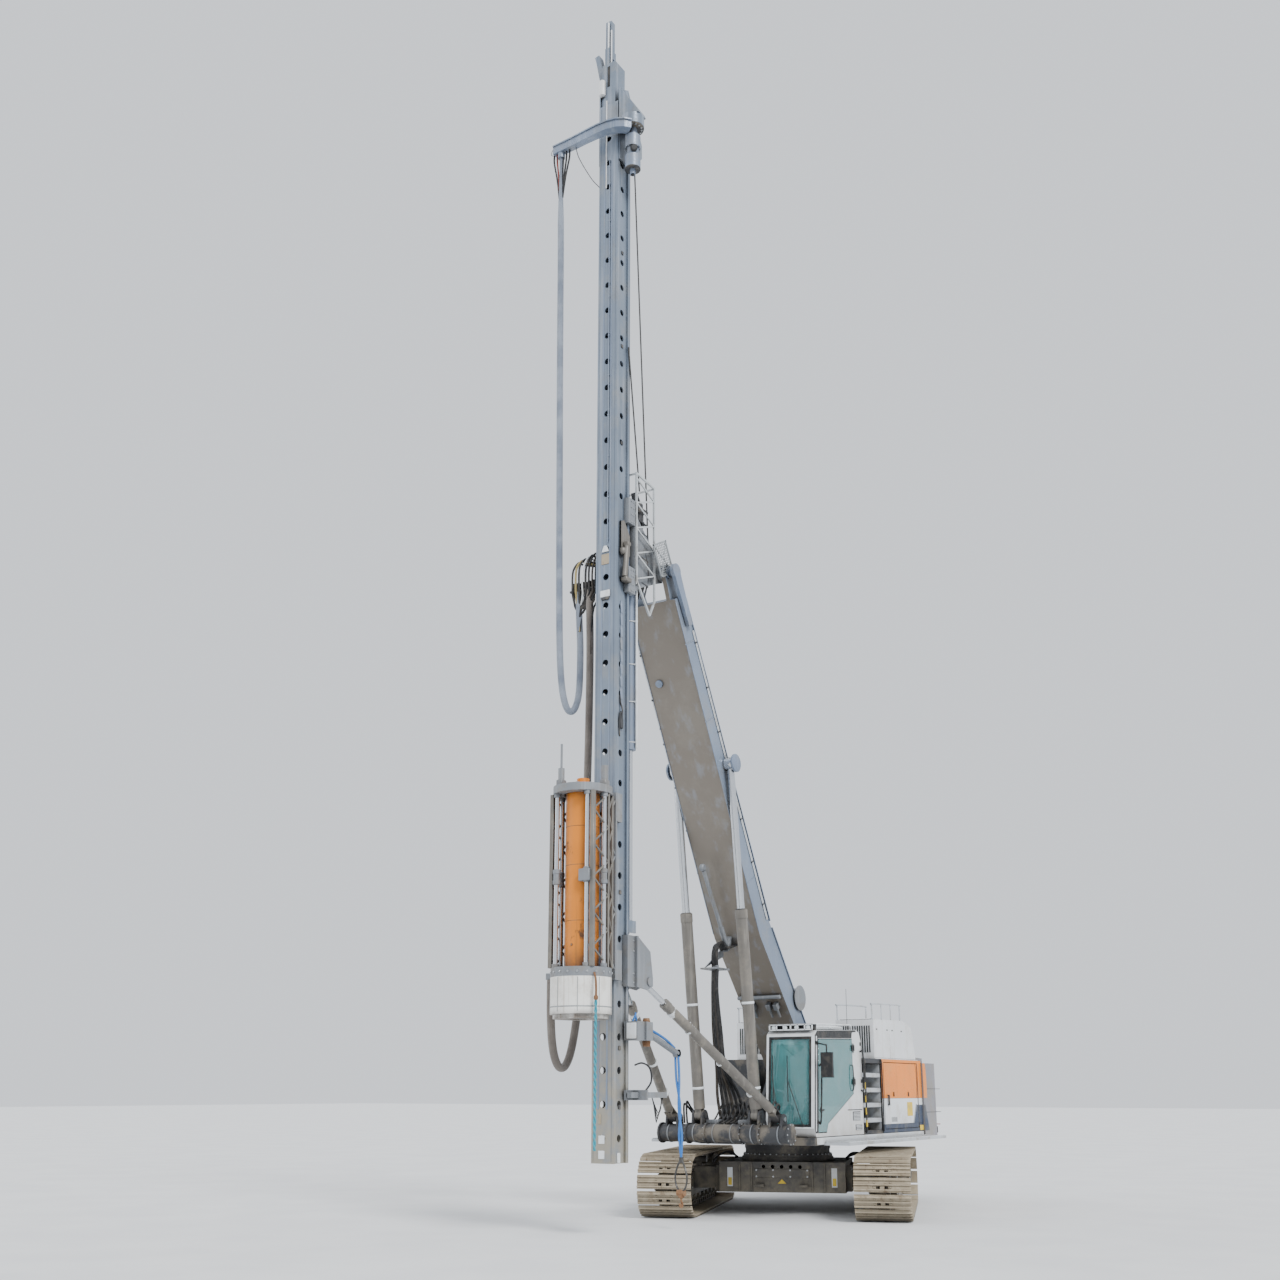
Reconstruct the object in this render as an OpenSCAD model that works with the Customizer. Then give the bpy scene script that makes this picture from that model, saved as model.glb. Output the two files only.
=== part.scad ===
// Pile driver rig on tracks: a crawler carrier with a boom, a sliding leader and a drop hammer.
// Millimetres, +Z up, -Y is the rig's front and +X its left side.
// Points are given as [forward, sideways, height], counted from the slewing axis at ground level.

/* [Tracks] */
// Distance between the middles of the two tracks
track_gauge = 3380; // [3200:20:3600]
// Width of a track shoe
shoe_w = 860; // [700:10:900]
// Overall length of a track
track_len = 4940; // [4700:20:5200]
// Overall height of a track
track_h = 970; // [920:10:1000]
// Number of shoes in one track
shoe_count = 48; // [44:1:52]
// Thickness of a shoe's plate
shoe_t = 20; // [16:1:26]
// Height of a shoe's ribs
rib_h = 26; // [18:1:34]
// Height of the chain inside the shoes
link_h = 105; // [90:5:120]
// Width of the chain inside the shoes
link_w = 230; // [180:10:260]
// Turn of the undercarriage against the upper carriage
carriage_turn = 19.8; // [-30:0.1:30]

/* [Carbody] */
// Width of the centre box
carbody_w = 2080; // [1900:20:2200]
// Length of the centre box
carbody_len = 1900; // [1700:20:2100]
// Underside of the centre box above ground
carbody_z0 = 330; // [280:10:400]
// Top of the centre box above ground
carbody_z1 = 810; // [780:10:840]
// Wall of the centre box
carbody_t = 40; // [25:1:60]
// Side of the square beams that reach to the track frames
side_beam = 340; // [280:10:380]
// Width of a track frame
track_frame_w = 380; // [320:10:440]
// Radius of the slewing ring
slew_r = 720; // [640:10:780]

/* [Upper carriage] */
// Top of the deck above ground
deck_z = 1235; // [1225:1:1245]
// Thickness of the deck plate
deck_t = 120; // [90:2:120]
// Half width of the upper carriage
upper_half = 1375; // [1350:5:1400]
// Rear end of the counterweight behind the slewing axis
tail_r = 3780; // [3700:10:3900]
// Length of the counterweight
tail_len = 880; // [800:10:950]
// Top of the machinery housings
housing_z = 2490; // [2400:10:2560]
// Top of the white hoods
hood_z = 3195; // [3050:10:3250]
// Inner side of the machinery housings
housing_in = 640; // [630:5:680]
// Outer edge of the catwalks
walk_out = 1820; // [1700:10:1900]

/* [Cab] */
// Front of the cab
cab_front = 1830; // [1780:5:1860]
// Rear of the cab
cab_rear = -115; // [-140:5:-90]
// Inner side of the cab
cab_in = 520; // [520:5:560]
// Underside of the cab above ground
cab_z0 = 1245; // [1245:1:1260]
// Top of the cab above ground
cab_z1 = 2950; // [2900:5:3000]
// Thickness of the cab's walls and door
cab_t = 45; // [35:1:60]
// Thickness of the cab's panes
pane_t = 8; // [6:1:10]

/* [Boom] */
// Height of the boom's foot pin
foot_z = 2184; // [2150:1:2220]
// Forward place of the boom's foot pin
foot_f = -447; // [-470:1:-420]
// Width of the boom's box
boom_w = 860; // [820:5:900]
// Depth of the boom's box
boom_d = 420; // [360:5:460]
// Radius of the boom's foot pin
foot_pin_r = 75; // [65:1:85]
// Radius of the pin at the boom's head
head_pin_r = 65; // [55:1:75]
// Length of the head pin's keeper arms along the boom's flanks, mm
head_arm_len = 900; // [700:10:1000]

/* [Leader] */
// Distance of the leader's axis in front of the slewing axis
leader_f = 5575; // [5560:1:5590]
// Width of the leader over its rails
leader_w = 364; // [350:1:380]
// Depth of the leader
leader_d = 386; // [370:1:400]
// Wall of the leader's box
leader_wall = 16; // [12:1:24]
// Foot of the leader above ground
leader_z0 = 978; // [960:1:1000]
// Top of the leader's box
leader_z1 = 17990; // [17900:10:18100]
// Width of a guide rail beside the box
rail_w = 32; // [26:1:36]
// Depth of a guide rail
rail_d = 60; // [50:1:70]
// Pitch of the round holes
hole_pitch = 458; // [450:1:466]
// Radius of the round holes
hole_r = 52; // [44:1:58]
// Travel of the leader in its guides
leader_travel = 2400; // [2000:50:2450]
// Distance of the boom's head pin behind the leader's axis
head_back = 1103; // [1080:1:1130]
// Distance of the lift cylinder behind the leader's axis
lift_back = 500; // [480:1:520]

/* [Hammer] */
// Distance of the hammer's axis in front of the leader's axis
hammer_out = 745; // [735:1:765]
// Underside of the drive cap above ground
cap_z = 2900; // [2850:10:2950]
// Radius of the drive cap
cap_r = 425; // [400:5:430]
// Side of the square pile socket
socket_w = 280; // [260:5:300]
// Radius of the ram
ram_r = 240; // [220:5:250]
// Height of the cage over the drive cap
cage_h = 2560; // [2500:10:2620]

/* [Cylinders] */
// Radius of the boom cylinders
boom_cyl_r = 94; // [85:1:100]
// Radius of the boom cylinders' rods
boom_rod_r = 62; // [55:1:70]
// Radius of the stay cylinders
stay_cyl_r = 73; // [66:1:80]
// Radius of the stay cylinders' rods
stay_rod_r = 42; // [36:1:48]
// Radius of the lift cylinder
lift_cyl_r = 83; // [75:1:90]
// Radius of the lift cylinder's rod
lift_rod_r = 42; // [36:1:48]

/* [Fits] */
// Running clearance of a pin in its bore
pin_gap = 0.08; // [0.05:0.01:0.1]
// Clearance of a rod in its gland and of a guide shoe on its rail
slide_gap = 0.4; // [0.3:0.05:0.5]
// Side clearance between moving neighbours
side_gap = 6; // [5:0.5:7]

/* [Hidden] */
$fn = 48;

// Paint and metal colours
grey = "#6f7479";
steel_blue = "#8d9bad";
dark = "#3a3d40";
white = "#e9e9e4";
orange = "#f0962e";
mud = "#8f8573";
chrome = "#c9ccd0";
pane_teal = "#4f9fa8";

// The model's origin lies under the middle of its box
hammer_f = leader_f + hammer_out;
front_reach = hammer_f + cap_r;
origin_shift = (front_reach - tail_r) / 2;

// Track
track_r = track_h / 2;
plate_r = track_r - rib_h;
shoe_in_r = plate_r - shoe_t;
link_in_r = shoe_in_r - link_h;
pin_r_track = shoe_in_r - link_h / 2;
track_straight = track_len - track_h;
wheel_f = track_straight / 2;
roller_r = 92;
seat_gap = 0.3;

// Slewing ring and deck
ring_split = 1000;
deck_under = deck_z - deck_t;
tail_front = -tail_r + tail_len;

// Boom
knee = [1508, 4576];
head = [leader_f - head_back, 9984];
boom_dir_high = unit(head - knee);
bracket_in = boom_w / 2 + side_gap;
bracket_t = 60;

// Stay cylinders
stay_foot = [2230, 1520];
stay_foot_b = 936;
stay_head = [leader_f - 583, 3484];
stay_head_b = 170;
fork_reach = 190;
stay_angle = atan2(stay_head[1] - stay_foot[1], stay_head[0] - stay_foot[0]);
stay_plane_len = norm(stay_head - stay_foot);
stay_lean = atan2(stay_foot_b - stay_head_b, stay_plane_len - fork_reach);
stay_len = norm([stay_foot_b - stay_head_b, stay_plane_len - fork_reach]);
stay_barrel_len = 2780;

// Boom cylinders
lug_foot = [2132, 1560];
boom_eye = knee + boom_dir_high * 2886 + [-boom_dir_high[1], boom_dir_high[0]] * 99.5;
boss_t = 12;
cyl_b = boom_w / 2 + boss_t + side_gap + boom_rod_r + 2;
cyl_angle = atan2(boom_eye[1] - lug_foot[1], boom_eye[0] - lug_foot[0]);
cyl_len = norm(boom_eye - lug_foot);
cyl_barrel_len = 3250;

// Leader
rail_out = leader_w / 2;
web_out = rail_out - rail_w;
leader_back = leader_f - leader_d / 2;
leader_front = leader_f + leader_d / 2;

// Lift cylinder
lift_f = leader_f - lift_back;
lift_b = 0;
lift_top = 10230;
lift_eye_z = 4285;
lift_gland = lift_eye_z + leader_travel + 283;

// Cab side view, as [forward, height]
cab_side = [
    [cab_rear, cab_z0], [cab_front - 60, cab_z0], [cab_front, cab_z0 + 120],
    [cab_front - 110, cab_z1 - 130], [cab_front - 190, cab_z1 - 60],
    [cab_rear + 190, cab_z1], [cab_rear + 60, cab_z1 - 50], [cab_rear, cab_z1 - 180]
];
door_front = cab_front - 130;
door_rear = 250;
door_side = [
    [door_front - 330, cab_z0 + 55], [door_front, cab_z0 + 55], [door_front - 90, cab_z1 - 190],
    [door_rear, cab_z1 - 150], [door_rear, 1900], [door_front - 400, 1440]
];

// Hose routes, as [forward, sideways, height]
hose_loop_r = 52;
hose_loop_path = [
    [5940, -840, 17189.7], [5940, -840, 16900], [5940, -840, 16600], [5935, -835, 16000],
    [5925, -830, 15200], [5915, -828, 14200],
    [5900, -825, 13000], [5880, -822, 11800], [5860, -820, 10600], [5840, -818, 9600], [5820, -815, 8800],
    [5790, -810, 8250], [5740, -800, 7870], [5670, -780, 7640], [5590, -755, 7570], [5510, -725, 7640],
    [5465, -690, 7850], [5470, -665, 8200], [5500, -645, 8650], [5555, -630, 9050], [5582, -621, 9300],
    [5585, -620, 9400], [5585, -620, 9479.7]
];
hammer_hose_r = 58;
hammer_hose_path = [
    [5585, -420, 9479.7], [5585, -420, 9390], [5575, -422, 9150], [5530, -440, 8500], [5510, -460, 7500],
    [5510, -480, 6400],
    [5520, -500, 5200], [5530, -520, 4200], [5560, -545, 3400], [5620, -570, 2850], [5720, -580, 2480],
    [5850, -580, 2290], [6000, -575, 2270], [6130, -565, 2400], [6210, -560, 2640], [6250, -555, 2950],
    [6267, -549, 3200], [6270, -548, 3340], [6270, -548, 3459.7]
];

// Helpers
function xyz(p) = [p[1], -p[0], p[2]];
function mid(a, b, t) = a + (b - a) * t;

module at_slew() {
    translate([0, origin_shift, 0]) children();
}

module at_tracks() {
    at_slew() rotate([0, 0, carriage_turn]) children();
}

module block(f, b, z) {
    translate([b[0], -f[1], z[0]]) cube([b[1] - b[0], f[1] - f[0], z[1] - z[0]]);
}

module side_plate(outline, b) {
    translate([b[0], 0, 0]) mirror([0, 1, 0]) rotate([90, 0, 90])
        linear_extrude(b[1] - b[0]) polygon(outline);
}

module plan_plate(outline, z) {
    translate([0, 0, z[0]]) linear_extrude(z[1] - z[0]) polygon([for (p = outline) [p[1], -p[0]]]);
}

module cross_plate(outline, f) {
    translate([0, -f[0], 0]) rotate([90, 0, 0]) linear_extrude(f[1] - f[0]) polygon(outline);
}

// Outline of a bent strip round a centre line, with half its width at each point
function lane_side(pts, w, i, s) =
    let (d = unit(pts[min(i + 1, len(pts) - 1)] - pts[max(i - 1, 0)])) pts[i] + s * w[i] * [-d[1], d[0]];
function lane(pts, w) = concat(
    [for (i = [0 : len(pts) - 1]) lane_side(pts, w, i, 1)],
    [for (i = [len(pts) - 1 : -1 : 0]) lane_side(pts, w, i, -1)]
);

module across(p, b, r) {
    translate([b[0], -p[0], p[1]]) rotate([0, 90, 0]) cylinder(r = r, h = b[1] - b[0]);
}

module upright(f, b, z, r) {
    translate([b, -f, z[0]]) cylinder(r = r, h = z[1] - z[0]);
}

module fore_aft(f, b, z, r) {
    translate([b, -f[0], z]) rotate([90, 0, 0]) cylinder(r = r, h = f[1] - f[0]);
}

module bar(p, q, r) {
    d = xyz(q) - xyz(p);
    translate(xyz(p)) rotate([0, acos(d[2] / norm(d)), atan2(d[1], d[0])]) cylinder(r = r, h = norm(d));
}

module both_sides() {
    children();
    mirror([1, 0, 0]) children();
}

// A swept tube through points: one ring at each point, square to the mean of its neighbours
function unit(v) = v / norm(v);
function ring_axis(pts, i) = unit(pts[min(i + 1, len(pts) - 1)] - pts[max(i - 1, 0)]);
function ring_side(n) = unit(cross(n, [1, 0.01, 0]));
module swept_tube(route, r, sides) {
    pts = [for (p = route) xyz(p)];
    rings = [
        for (i = [0 : len(pts) - 1])
            let (n = ring_axis(pts, i), u = ring_side(n), v = cross(n, u))
                for (k = [0 : sides - 1])
                    pts[i] + r * (cos(360 * k / sides) * u + sin(360 * k / sides) * v)
    ];
    last = len(pts) - 1;
    walls = [
        for (i = [0 : last - 1])
            for (k = [0 : sides - 1])
                [
                    i * sides + k, i * sides + (k + 1) % sides,
                    (i + 1) * sides + (k + 1) % sides, (i + 1) * sides + k
                ]
    ];
    ends = [[for (k = [sides - 1 : -1 : 0]) k], [for (k = [0 : sides - 1]) last * sides + k]];
    polyhedron(rings, concat(walls, ends));
}

// Track: a point on its path at a distance along it, at a radius round the end wheels
function on_track(s, r) =
    let (turn = PI * r, lap = 2 * (track_straight + turn), d = s % lap)
        d < track_straight ? [d - wheel_f, -r]
        : d < track_straight + turn
            ? [wheel_f + r * sin((d - track_straight) / r * 180 / PI),
               -r * cos((d - track_straight) / r * 180 / PI)]
        : d < 2 * track_straight + turn ? [wheel_f - (d - track_straight - turn), r]
        : [-wheel_f - r * sin((d - 2 * track_straight - turn) / r * 180 / PI),
           r * cos((d - 2 * track_straight - turn) / r * 180 / PI)];

// A shoe's outline along its chord: [share of the pitch, share of the rib's height]
rib_outline = [[-0.06, 0], [-0.025, 1], [0.025, 1], [0.06, 0]];
shoe_outline = [for (u = [0.16, 0.5, 0.84]) for (p = rib_outline) [u + p[0], p[1]]];

function shoe_points(i) =
    let (
        lap = 2 * (track_straight + PI * pin_r_track), pitch = lap / shoe_count,
        a = on_track(i * pitch, pin_r_track), b = on_track((i + 1) * pitch, pin_r_track),
        along = unit(b - a), out = [along[1], -along[0]]
    )
        [for (p = shoe_outline) mid(a, b, p[0]) + out * (plate_r - pin_r_track + p[1] * rib_h)];

function oval(r, steps) = concat(
    [for (k = [0 : steps]) [wheel_f + r * sin(180 * k / steps), -r * cos(180 * k / steps)]],
    [for (k = [0 : steps]) [-wheel_f - r * sin(180 * k / steps), r * cos(180 * k / steps)]]
);

module track(side) {
    color(mud) at_tracks() translate([side * track_gauge / 2, 0, track_r]) {
        translate([-shoe_w / 2, 0, 0]) mirror([0, 1, 0]) rotate([90, 0, 90]) linear_extrude(shoe_w)
            difference() {
                polygon([for (i = [0 : shoe_count - 1]) each shoe_points(i)]);
                polygon(oval(shoe_in_r, 10));
            }
        translate([-link_w / 2, 0, 0]) mirror([0, 1, 0]) rotate([90, 0, 90]) linear_extrude(link_w)
            difference() {
                polygon(oval(shoe_in_r, 10));
                polygon(oval(link_in_r, 10));
            }
    }
}

module track_frame(side) {
    half = track_frame_w / 2;
    z0 = 270;
    z1 = 640;
    roll_z = track_r - link_in_r + roller_r + seat_gap;
    wheel_r = link_in_r - 6;
    translate([side * track_gauge / 2, 0, 0]) {
        side_plate([
            [-wheel_f + 120, z0 + 90], [-wheel_f + 420, z0], [wheel_f - 420, z0], [wheel_f - 120, z0 + 90],
            [wheel_f - 120, z1 - 90], [wheel_f - 520, z1], [-wheel_f + 520, z1], [-wheel_f + 120, z1 - 90]
        ], [-half, half]);
        for (i = [0 : 7])
            across([mid(-wheel_f + 560, wheel_f - 560, i / 7), roll_z], [-half + 30, half - 30], roller_r);
        for (f = [-900, 900]) {
            across([f, track_r + link_in_r - 70 - seat_gap], [-half + 60, half - 60], 70);
            block([f - 60, f + 60], [-50, 50], [z1 - 20, track_r + link_in_r - 80]);
        }
        // Idler at the front, with its yoke
        across([wheel_f, track_r], [-link_w / 2 + 20, link_w / 2 - 20], wheel_r);
        across([wheel_f, track_r], [-half, half], 110);
        both_sides() block([wheel_f - 300, wheel_f + 60], [half - 50, half], [track_r - 70, track_r + 70]);
        // Drive wheel at the rear, with its final drive on the outer side
        across([-wheel_f, track_r], [-link_w / 2 + 20, link_w / 2 - 20], wheel_r);
        across([-wheel_f, track_r], [-half, half], 210);
        across([-wheel_f, track_r], [min(side * (half + 90), 0), max(side * (half + 90), 0)], 165);
        both_sides()
            block([-wheel_f - 40, -wheel_f + 300], [half - 50, half], [track_r - 120, track_r + 120]);
    }
}

module track_frames() {
    color(dark) at_tracks() for (side = [-1, 1]) track_frame(side);
}

module carbody() {
    half = carbody_w / 2;
    end = carbody_len / 2;
    beam_z = track_r + 60;
    beam_end = track_gauge / 2 - track_frame_w / 2;
    color(dark) at_tracks() {
        difference() {
            union() {
                plan_plate([
                    [-end, -half], [-end, half], [end, half], [end, -half]
                ], [carbody_z0, carbody_z1]);
                both_sides() for (s = [-1, 1]) block(
                    [s * 560 - side_beam / 2 - 30, s * 560 + side_beam / 2 + 30],
                    [half - 10, half + 90], [beam_z - side_beam / 2 - 30, beam_z + side_beam / 2 + 30]
                );
            }
            block([-end + carbody_t, end - carbody_t], [-half + carbody_t, half - carbody_t],
                  [carbody_z0 + carbody_t, carbody_z1 - carbody_t]);
            for (b = [-300, -150, 0, 150, 300])
                fore_aft([-end - 1, end + 1], b, carbody_z1 - 75, 30);
        }
        both_sides() for (s = [-1, 1]) block(
            [s * 560 - side_beam / 2, s * 560 + side_beam / 2], [half - carbody_t, beam_end],
            [beam_z - side_beam / 2, beam_z + side_beam / 2]
        );
        // Towing lugs on the front and rear plates
        for (s = [-1, 1]) for (b = [-360, 360]) difference() {
            block([min(s * end, s * (end + 120)), max(s * end, s * (end + 120))],
                  [b - 70, b + 70], [carbody_z0 + 90, carbody_z0 + 130]);
            upright(s * (end + 62), b, [carbody_z0 + 80, carbody_z0 + 140], 32);
        }
        translate([0, 0, carbody_z1]) cylinder(r = slew_r + 60, h = 60);
    }
}

module slew_ring() {
    color(grey) at_slew() difference() {
        union() {
            upright(0, 0, [carbody_z1 + 60 + seat_gap, ring_split], slew_r);
            upright(0, 0, [carbody_z1 + 60 + seat_gap, carbody_z1 + 100], slew_r + 40);
        }
        upright(0, 0, [carbody_z1 + 50, ring_split + 10], slew_r - 160);
    }
}

module deck() {
    nose_b = 640;
    color(dark) at_slew() {
        difference() {
            upright(0, 0, [ring_split + 0.5, deck_under], slew_r + 10);
            upright(0, 0, [ring_split - 10, deck_under + 10], slew_r - 160);
        }
        plan_plate([
            [tail_front, -upper_half], [tail_front, upper_half], [-640, upper_half],
            [cab_front + 20, upper_half], [cab_front + 20, nose_b], [1900, nose_b], [1900, -nose_b],
            [1000, -upper_half]
        ], [deck_under, deck_z]);
        boom_brackets();
        front_nose();
        // Pads under the cab
        for (f = [cab_rear + 60, cab_front - 180]) for (b = [cab_in + 20, upper_half - 140])
            block([f, f + 120], [b, b + 120], [deck_z - 1, cab_z0]);
    }
}

// Plates that carry the boom's foot pin
module boom_brackets() {
    both_sides() {
        side_plate([
            [-1500, deck_z - 10], [-620, foot_z + 60], [-300, foot_z + 60], [420, deck_z - 10]
        ], [bracket_in, bracket_in + bracket_t]);
        across([foot_f, foot_z], [bracket_in, bracket_in + bracket_t], 165);
        across([foot_f, foot_z], [bracket_in + bracket_t, bracket_in + bracket_t + 25], 110);
    }
    across([foot_f, foot_z], [-bracket_in - bracket_t - 30, bracket_in + bracket_t + 30], foot_pin_r);
}

// Front nose with the cross tube, the boom cylinders' lugs and the stays' lugs
module front_nose() {
    tube_z = 1290;
    tube_r = 140;
    tube_b = 1144;
    side_plate([
        [900, deck_z - 20], [1700, deck_z - 20], [stay_foot[0] - 60, tube_z - 60],
        [stay_foot[0] - 60, tube_z + 90], [1500, deck_z + 190], [900, deck_z + 120]
    ], [-cab_in + 25, cab_in - 25]);
    across([stay_foot[0], tube_z], [-tube_b, tube_b], tube_r);
    both_sides() {
        for (b = [300, 640]) across([stay_foot[0], tube_z], [b, b + 26], tube_r + 24);
        across([stay_foot[0], tube_z], [tube_b - 2, tube_b + 26], tube_r + 24);
        // Ears for a boom cylinder's foot
        for (b = [cyl_b - 66 - 34, cyl_b + 66]) {
            side_plate([
                [lug_foot[0] - 240, tube_z], [lug_foot[0] + 130, tube_z],
                [lug_foot[0] + 88, lug_foot[1] + 20], [lug_foot[0] - 88, lug_foot[1] + 20]
            ], [b, b + 34]);
            across(lug_foot, [b, b + 34], 95);
        }
        across(lug_foot, [cyl_b - 110, cyl_b + 110], 45);
        // Ears for a stay cylinder's pin
        for (b = [stay_foot_b - 82 - 36, stay_foot_b + 82]) difference() {
            union() {
                side_plate([
                    [stay_foot[0] - 120, tube_z], [stay_foot[0] + 120, tube_z],
                    [stay_foot[0] + 78, stay_foot[1]], [stay_foot[0] - 78, stay_foot[1]]
                ], [b, b + 36]);
                across(stay_foot, [b, b + 36], 80);
            }
            across(stay_foot, [b - 1, b + 37], 36 + pin_gap);
        }
    }
}

module counterweight() {
    front = tail_front;
    w = upper_half + 35;
    color(grey) at_slew() difference() {
        union() {
            plan_plate([
                [front, -w], [-tail_r + 260, -w], [-tail_r + 90, -w + 170], [-tail_r, -w + 420],
                [-tail_r, w - 420], [-tail_r + 90, w - 170], [-tail_r + 260, w], [front, w]
            ], [deck_under - 30, housing_z - 40]);
            plan_plate([
                [front, -w + 120], [-tail_r + 200, -w + 260], [-tail_r + 120, 0], [-tail_r + 200, w - 260],
                [front, w - 120]
            ], [housing_z - 41, housing_z + 60]);
        }
        for (b = [-700, 700]) upright(front - 420, b, [housing_z - 240, housing_z + 61], 60);
    }
}

module engine_block() {
    color(dark) at_slew() block([tail_front + 120, -1650], [-600, 600], [deck_z, housing_z - 260]);
}

// A housing beside the boom's foot, with a shallow bay behind its door
door_f = [tail_front + 200, -1080];
door_z = [deck_z + 70, housing_z - 60];
bay_depth = 150;
bay_step = 330;
hinge_r = 16;
hinge_pin_r = 8;
module housing(front, recess) {
    upright(door_f[0] + hinge_r, upper_half - hinge_r, [door_z[0] - 20, door_z[1] + 20], hinge_pin_r);
    difference() {
        block([tail_front, front], [housing_in, upper_half - 5], [deck_z, housing_z]);
        block([door_f[0] + 60, door_f[1] - 60], [upper_half - 5 - bay_depth, upper_half + 1],
              [door_z[0] + 60, door_z[1] - 60]);
        block([door_f[0] - side_gap, door_f[1] + side_gap], [upper_half - 50, upper_half + 1],
              [door_z[0] - side_gap, door_z[1] + side_gap]);
        // The ladder's steps are let into the left housing
        if (recess)
            block([-980, front + 1], [upper_half - bay_step, upper_half + 1], [deck_z + 60, housing_z - 80]);
    }
}

module housings() {
    color(dark) at_slew() {
        housing(-150, true);
        mirror([1, 0, 0]) housing(-150, false);
    }
}

module hoods() {
    color(white) at_slew() {
        both_sides() side_plate([
            [-760, housing_z], [-760, hood_z - 30], [tail_front + 750, hood_z],
            [tail_front + 340, hood_z - 110],
            [tail_front + 180, housing_z + 60], [tail_front + 180, housing_z]
        ], [housing_in, upper_half - 25]);
        block([tail_front + 60, -1600], [-housing_in, housing_in], [housing_z - 240, housing_z + 30]);
    }
}

module service_door() {
    y0 = upper_half - 45;
    knuckle_z = [door_z[0] + 20, door_z[1] - 20];
    block([door_f[0] + hinge_r * 2 + 4, door_f[1]], [y0, upper_half], door_z);
    difference() {
        union() {
            upright(door_f[0] + hinge_r, upper_half - hinge_r, knuckle_z, hinge_r);
            block([door_f[0] + hinge_r, door_f[0] + hinge_r * 2 + 5],
                  [upper_half - hinge_r * 1.5, upper_half - hinge_r * 0.5], knuckle_z);
        }
        upright(door_f[0] + hinge_r, upper_half - hinge_r, [knuckle_z[0] - 1, knuckle_z[1] + 1],
                hinge_pin_r + pin_gap);
    }
    // Grab handle
    for (z = [1700, 1860])
        block([door_f[1] - 160, door_f[1] - 130], [upper_half - 1, upper_half + 30], [z, z + 20]);
    block([door_f[1] - 160, door_f[1] - 130], [upper_half + 20, upper_half + 40], [1700, 1880]);
}

module service_door_left() {
    color(orange) at_slew() service_door();
}

module service_door_right() {
    color(orange) at_slew() mirror([1, 0, 0]) service_door();
}

// Catwalks: a frame with a rib grating on outriggers
module catwalks() {
    z0 = 1115;
    z1 = 1160;
    both_sides() {
        f0 = tail_front + 50;
        f1 = 1500;
        difference() {
            block([f0, f1], [upper_half + 35, walk_out], [z0, z1]);
            block([f0 + 40, f1 - 40], [upper_half + 75, walk_out - 40], [z0 - 1, z1 + 1]);
        }
        for (b = [1 : 4]) {
            at = mid(upper_half + 75, walk_out - 40, b / 5);
            block([f0, f1], [at - 6, at + 6], [z0 + 10, z1]);
        }
        for (i = [0 : 8]) {
            at = mid(f0, f1 - 30, i / 8);
            block([at, at + 30], [upper_half + seat_gap, walk_out - 20], [z0, z1 - 12]);
        }
    }
}

// Ladder in the recess behind the cab, with its grab rail
module ladder() {
    back = upper_half - bay_step + seat_gap;
    for (z = [1450, 1700, 1950, 2200])
        block([-960, -180], [back + 150, back + 290], [z, z + 30]);
    for (f = [-972, -192])
        block([f, f + 24], [back, back + 300], [deck_z + 60 + seat_gap, housing_z - 90]);
}

module walkways() {
    color(steel_blue) at_slew() {
        catwalks();
        ladder();
    }
}

// Rope winch between the housings, behind the boom's foot
module winch() {
    f = -1250;
    z = deck_z + 330;
    color(grey) at_slew() {
        both_sides() side_plate([
            [f - 260, deck_z], [f - 130, z + 170], [f + 130, z + 170], [f + 220, deck_z]
        ], [300, 340]);
        across([f, z], [-300, 300], 190);
        both_sides() across([f, z], [270, 299], 250);
        across([f, z], [340, 410], 110);
    }
}

// Cab
module cab_solid(inset) {
    c = [(cab_rear + cab_front) / 2, (cab_z0 + cab_z1) / 2];
    s = [1 - 2 * inset / (cab_front - cab_rear), 1 - 2 * inset / (cab_z1 - cab_z0)];
    side_plate([for (p = cab_side) [c[0] + (p[0] - c[0]) * s[0], c[1] + (p[1] - c[1]) * s[1]]],
               [cab_in + inset, upper_half - inset]);
}

// The windscreen's plane runs between these two points of the side view
screen_low = cab_side[2];
screen_high = cab_side[3];
front_window = [
    [cab_front - 300, cab_z0 + 175], [cab_front + 20, cab_z0 + 175], [cab_front + 20, cab_z1 - 185],
    [cab_front - 300, cab_z1 - 185]
];
rear_window_z = [1900, 2640];
side_window_f = [300, 1560];
side_window_z = [1700, 2690];
roof_window_f = [900, 1480];

module cab_shell() {
    color(white) at_slew() {
        cab_box();
        // Lugs and pins of the door's hinges
        for (z = door_hinge_z) {
            for (h = [z - 30, z + door_knuckle + 6])
                block([door_hinge_f - 14, door_hinge_f + 14], [upper_half - 1, door_hinge_b + 12],
                      [h, h + 24]);
            upright(door_hinge_f, door_hinge_b, [z - 29, z + door_knuckle + 29], hinge_pin_r);
        }
    }
}

module cab_box() {
    difference() {
        cab_solid(0);
        cab_solid(cab_t);
        side_plate(front_window, [cab_in + 70, upper_half - 80]);
        block([cab_rear - 1, cab_rear + cab_t + 40], [cab_in + 110, upper_half - 110], rear_window_z);
        block(side_window_f, [cab_in - 1, cab_in + cab_t + 1], side_window_z);
        block(roof_window_f, [cab_in + 110, upper_half - 110], [cab_z1 - 200, cab_z1 + 1]);
        side_plate(door_side, [upper_half - cab_t - 30, upper_half + 1]);
    }
}

module screen_slab(t0, t1, b) {
    d = unit(screen_high - screen_low);
    n = [d[1], -d[0]];
    low = mid(screen_low, screen_high, 0.04);
    high = mid(screen_low, screen_high, 0.965);
    side_plate([low + n * t0, low + n * t1, high + n * t1, high + n * t0], b);
}

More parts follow.
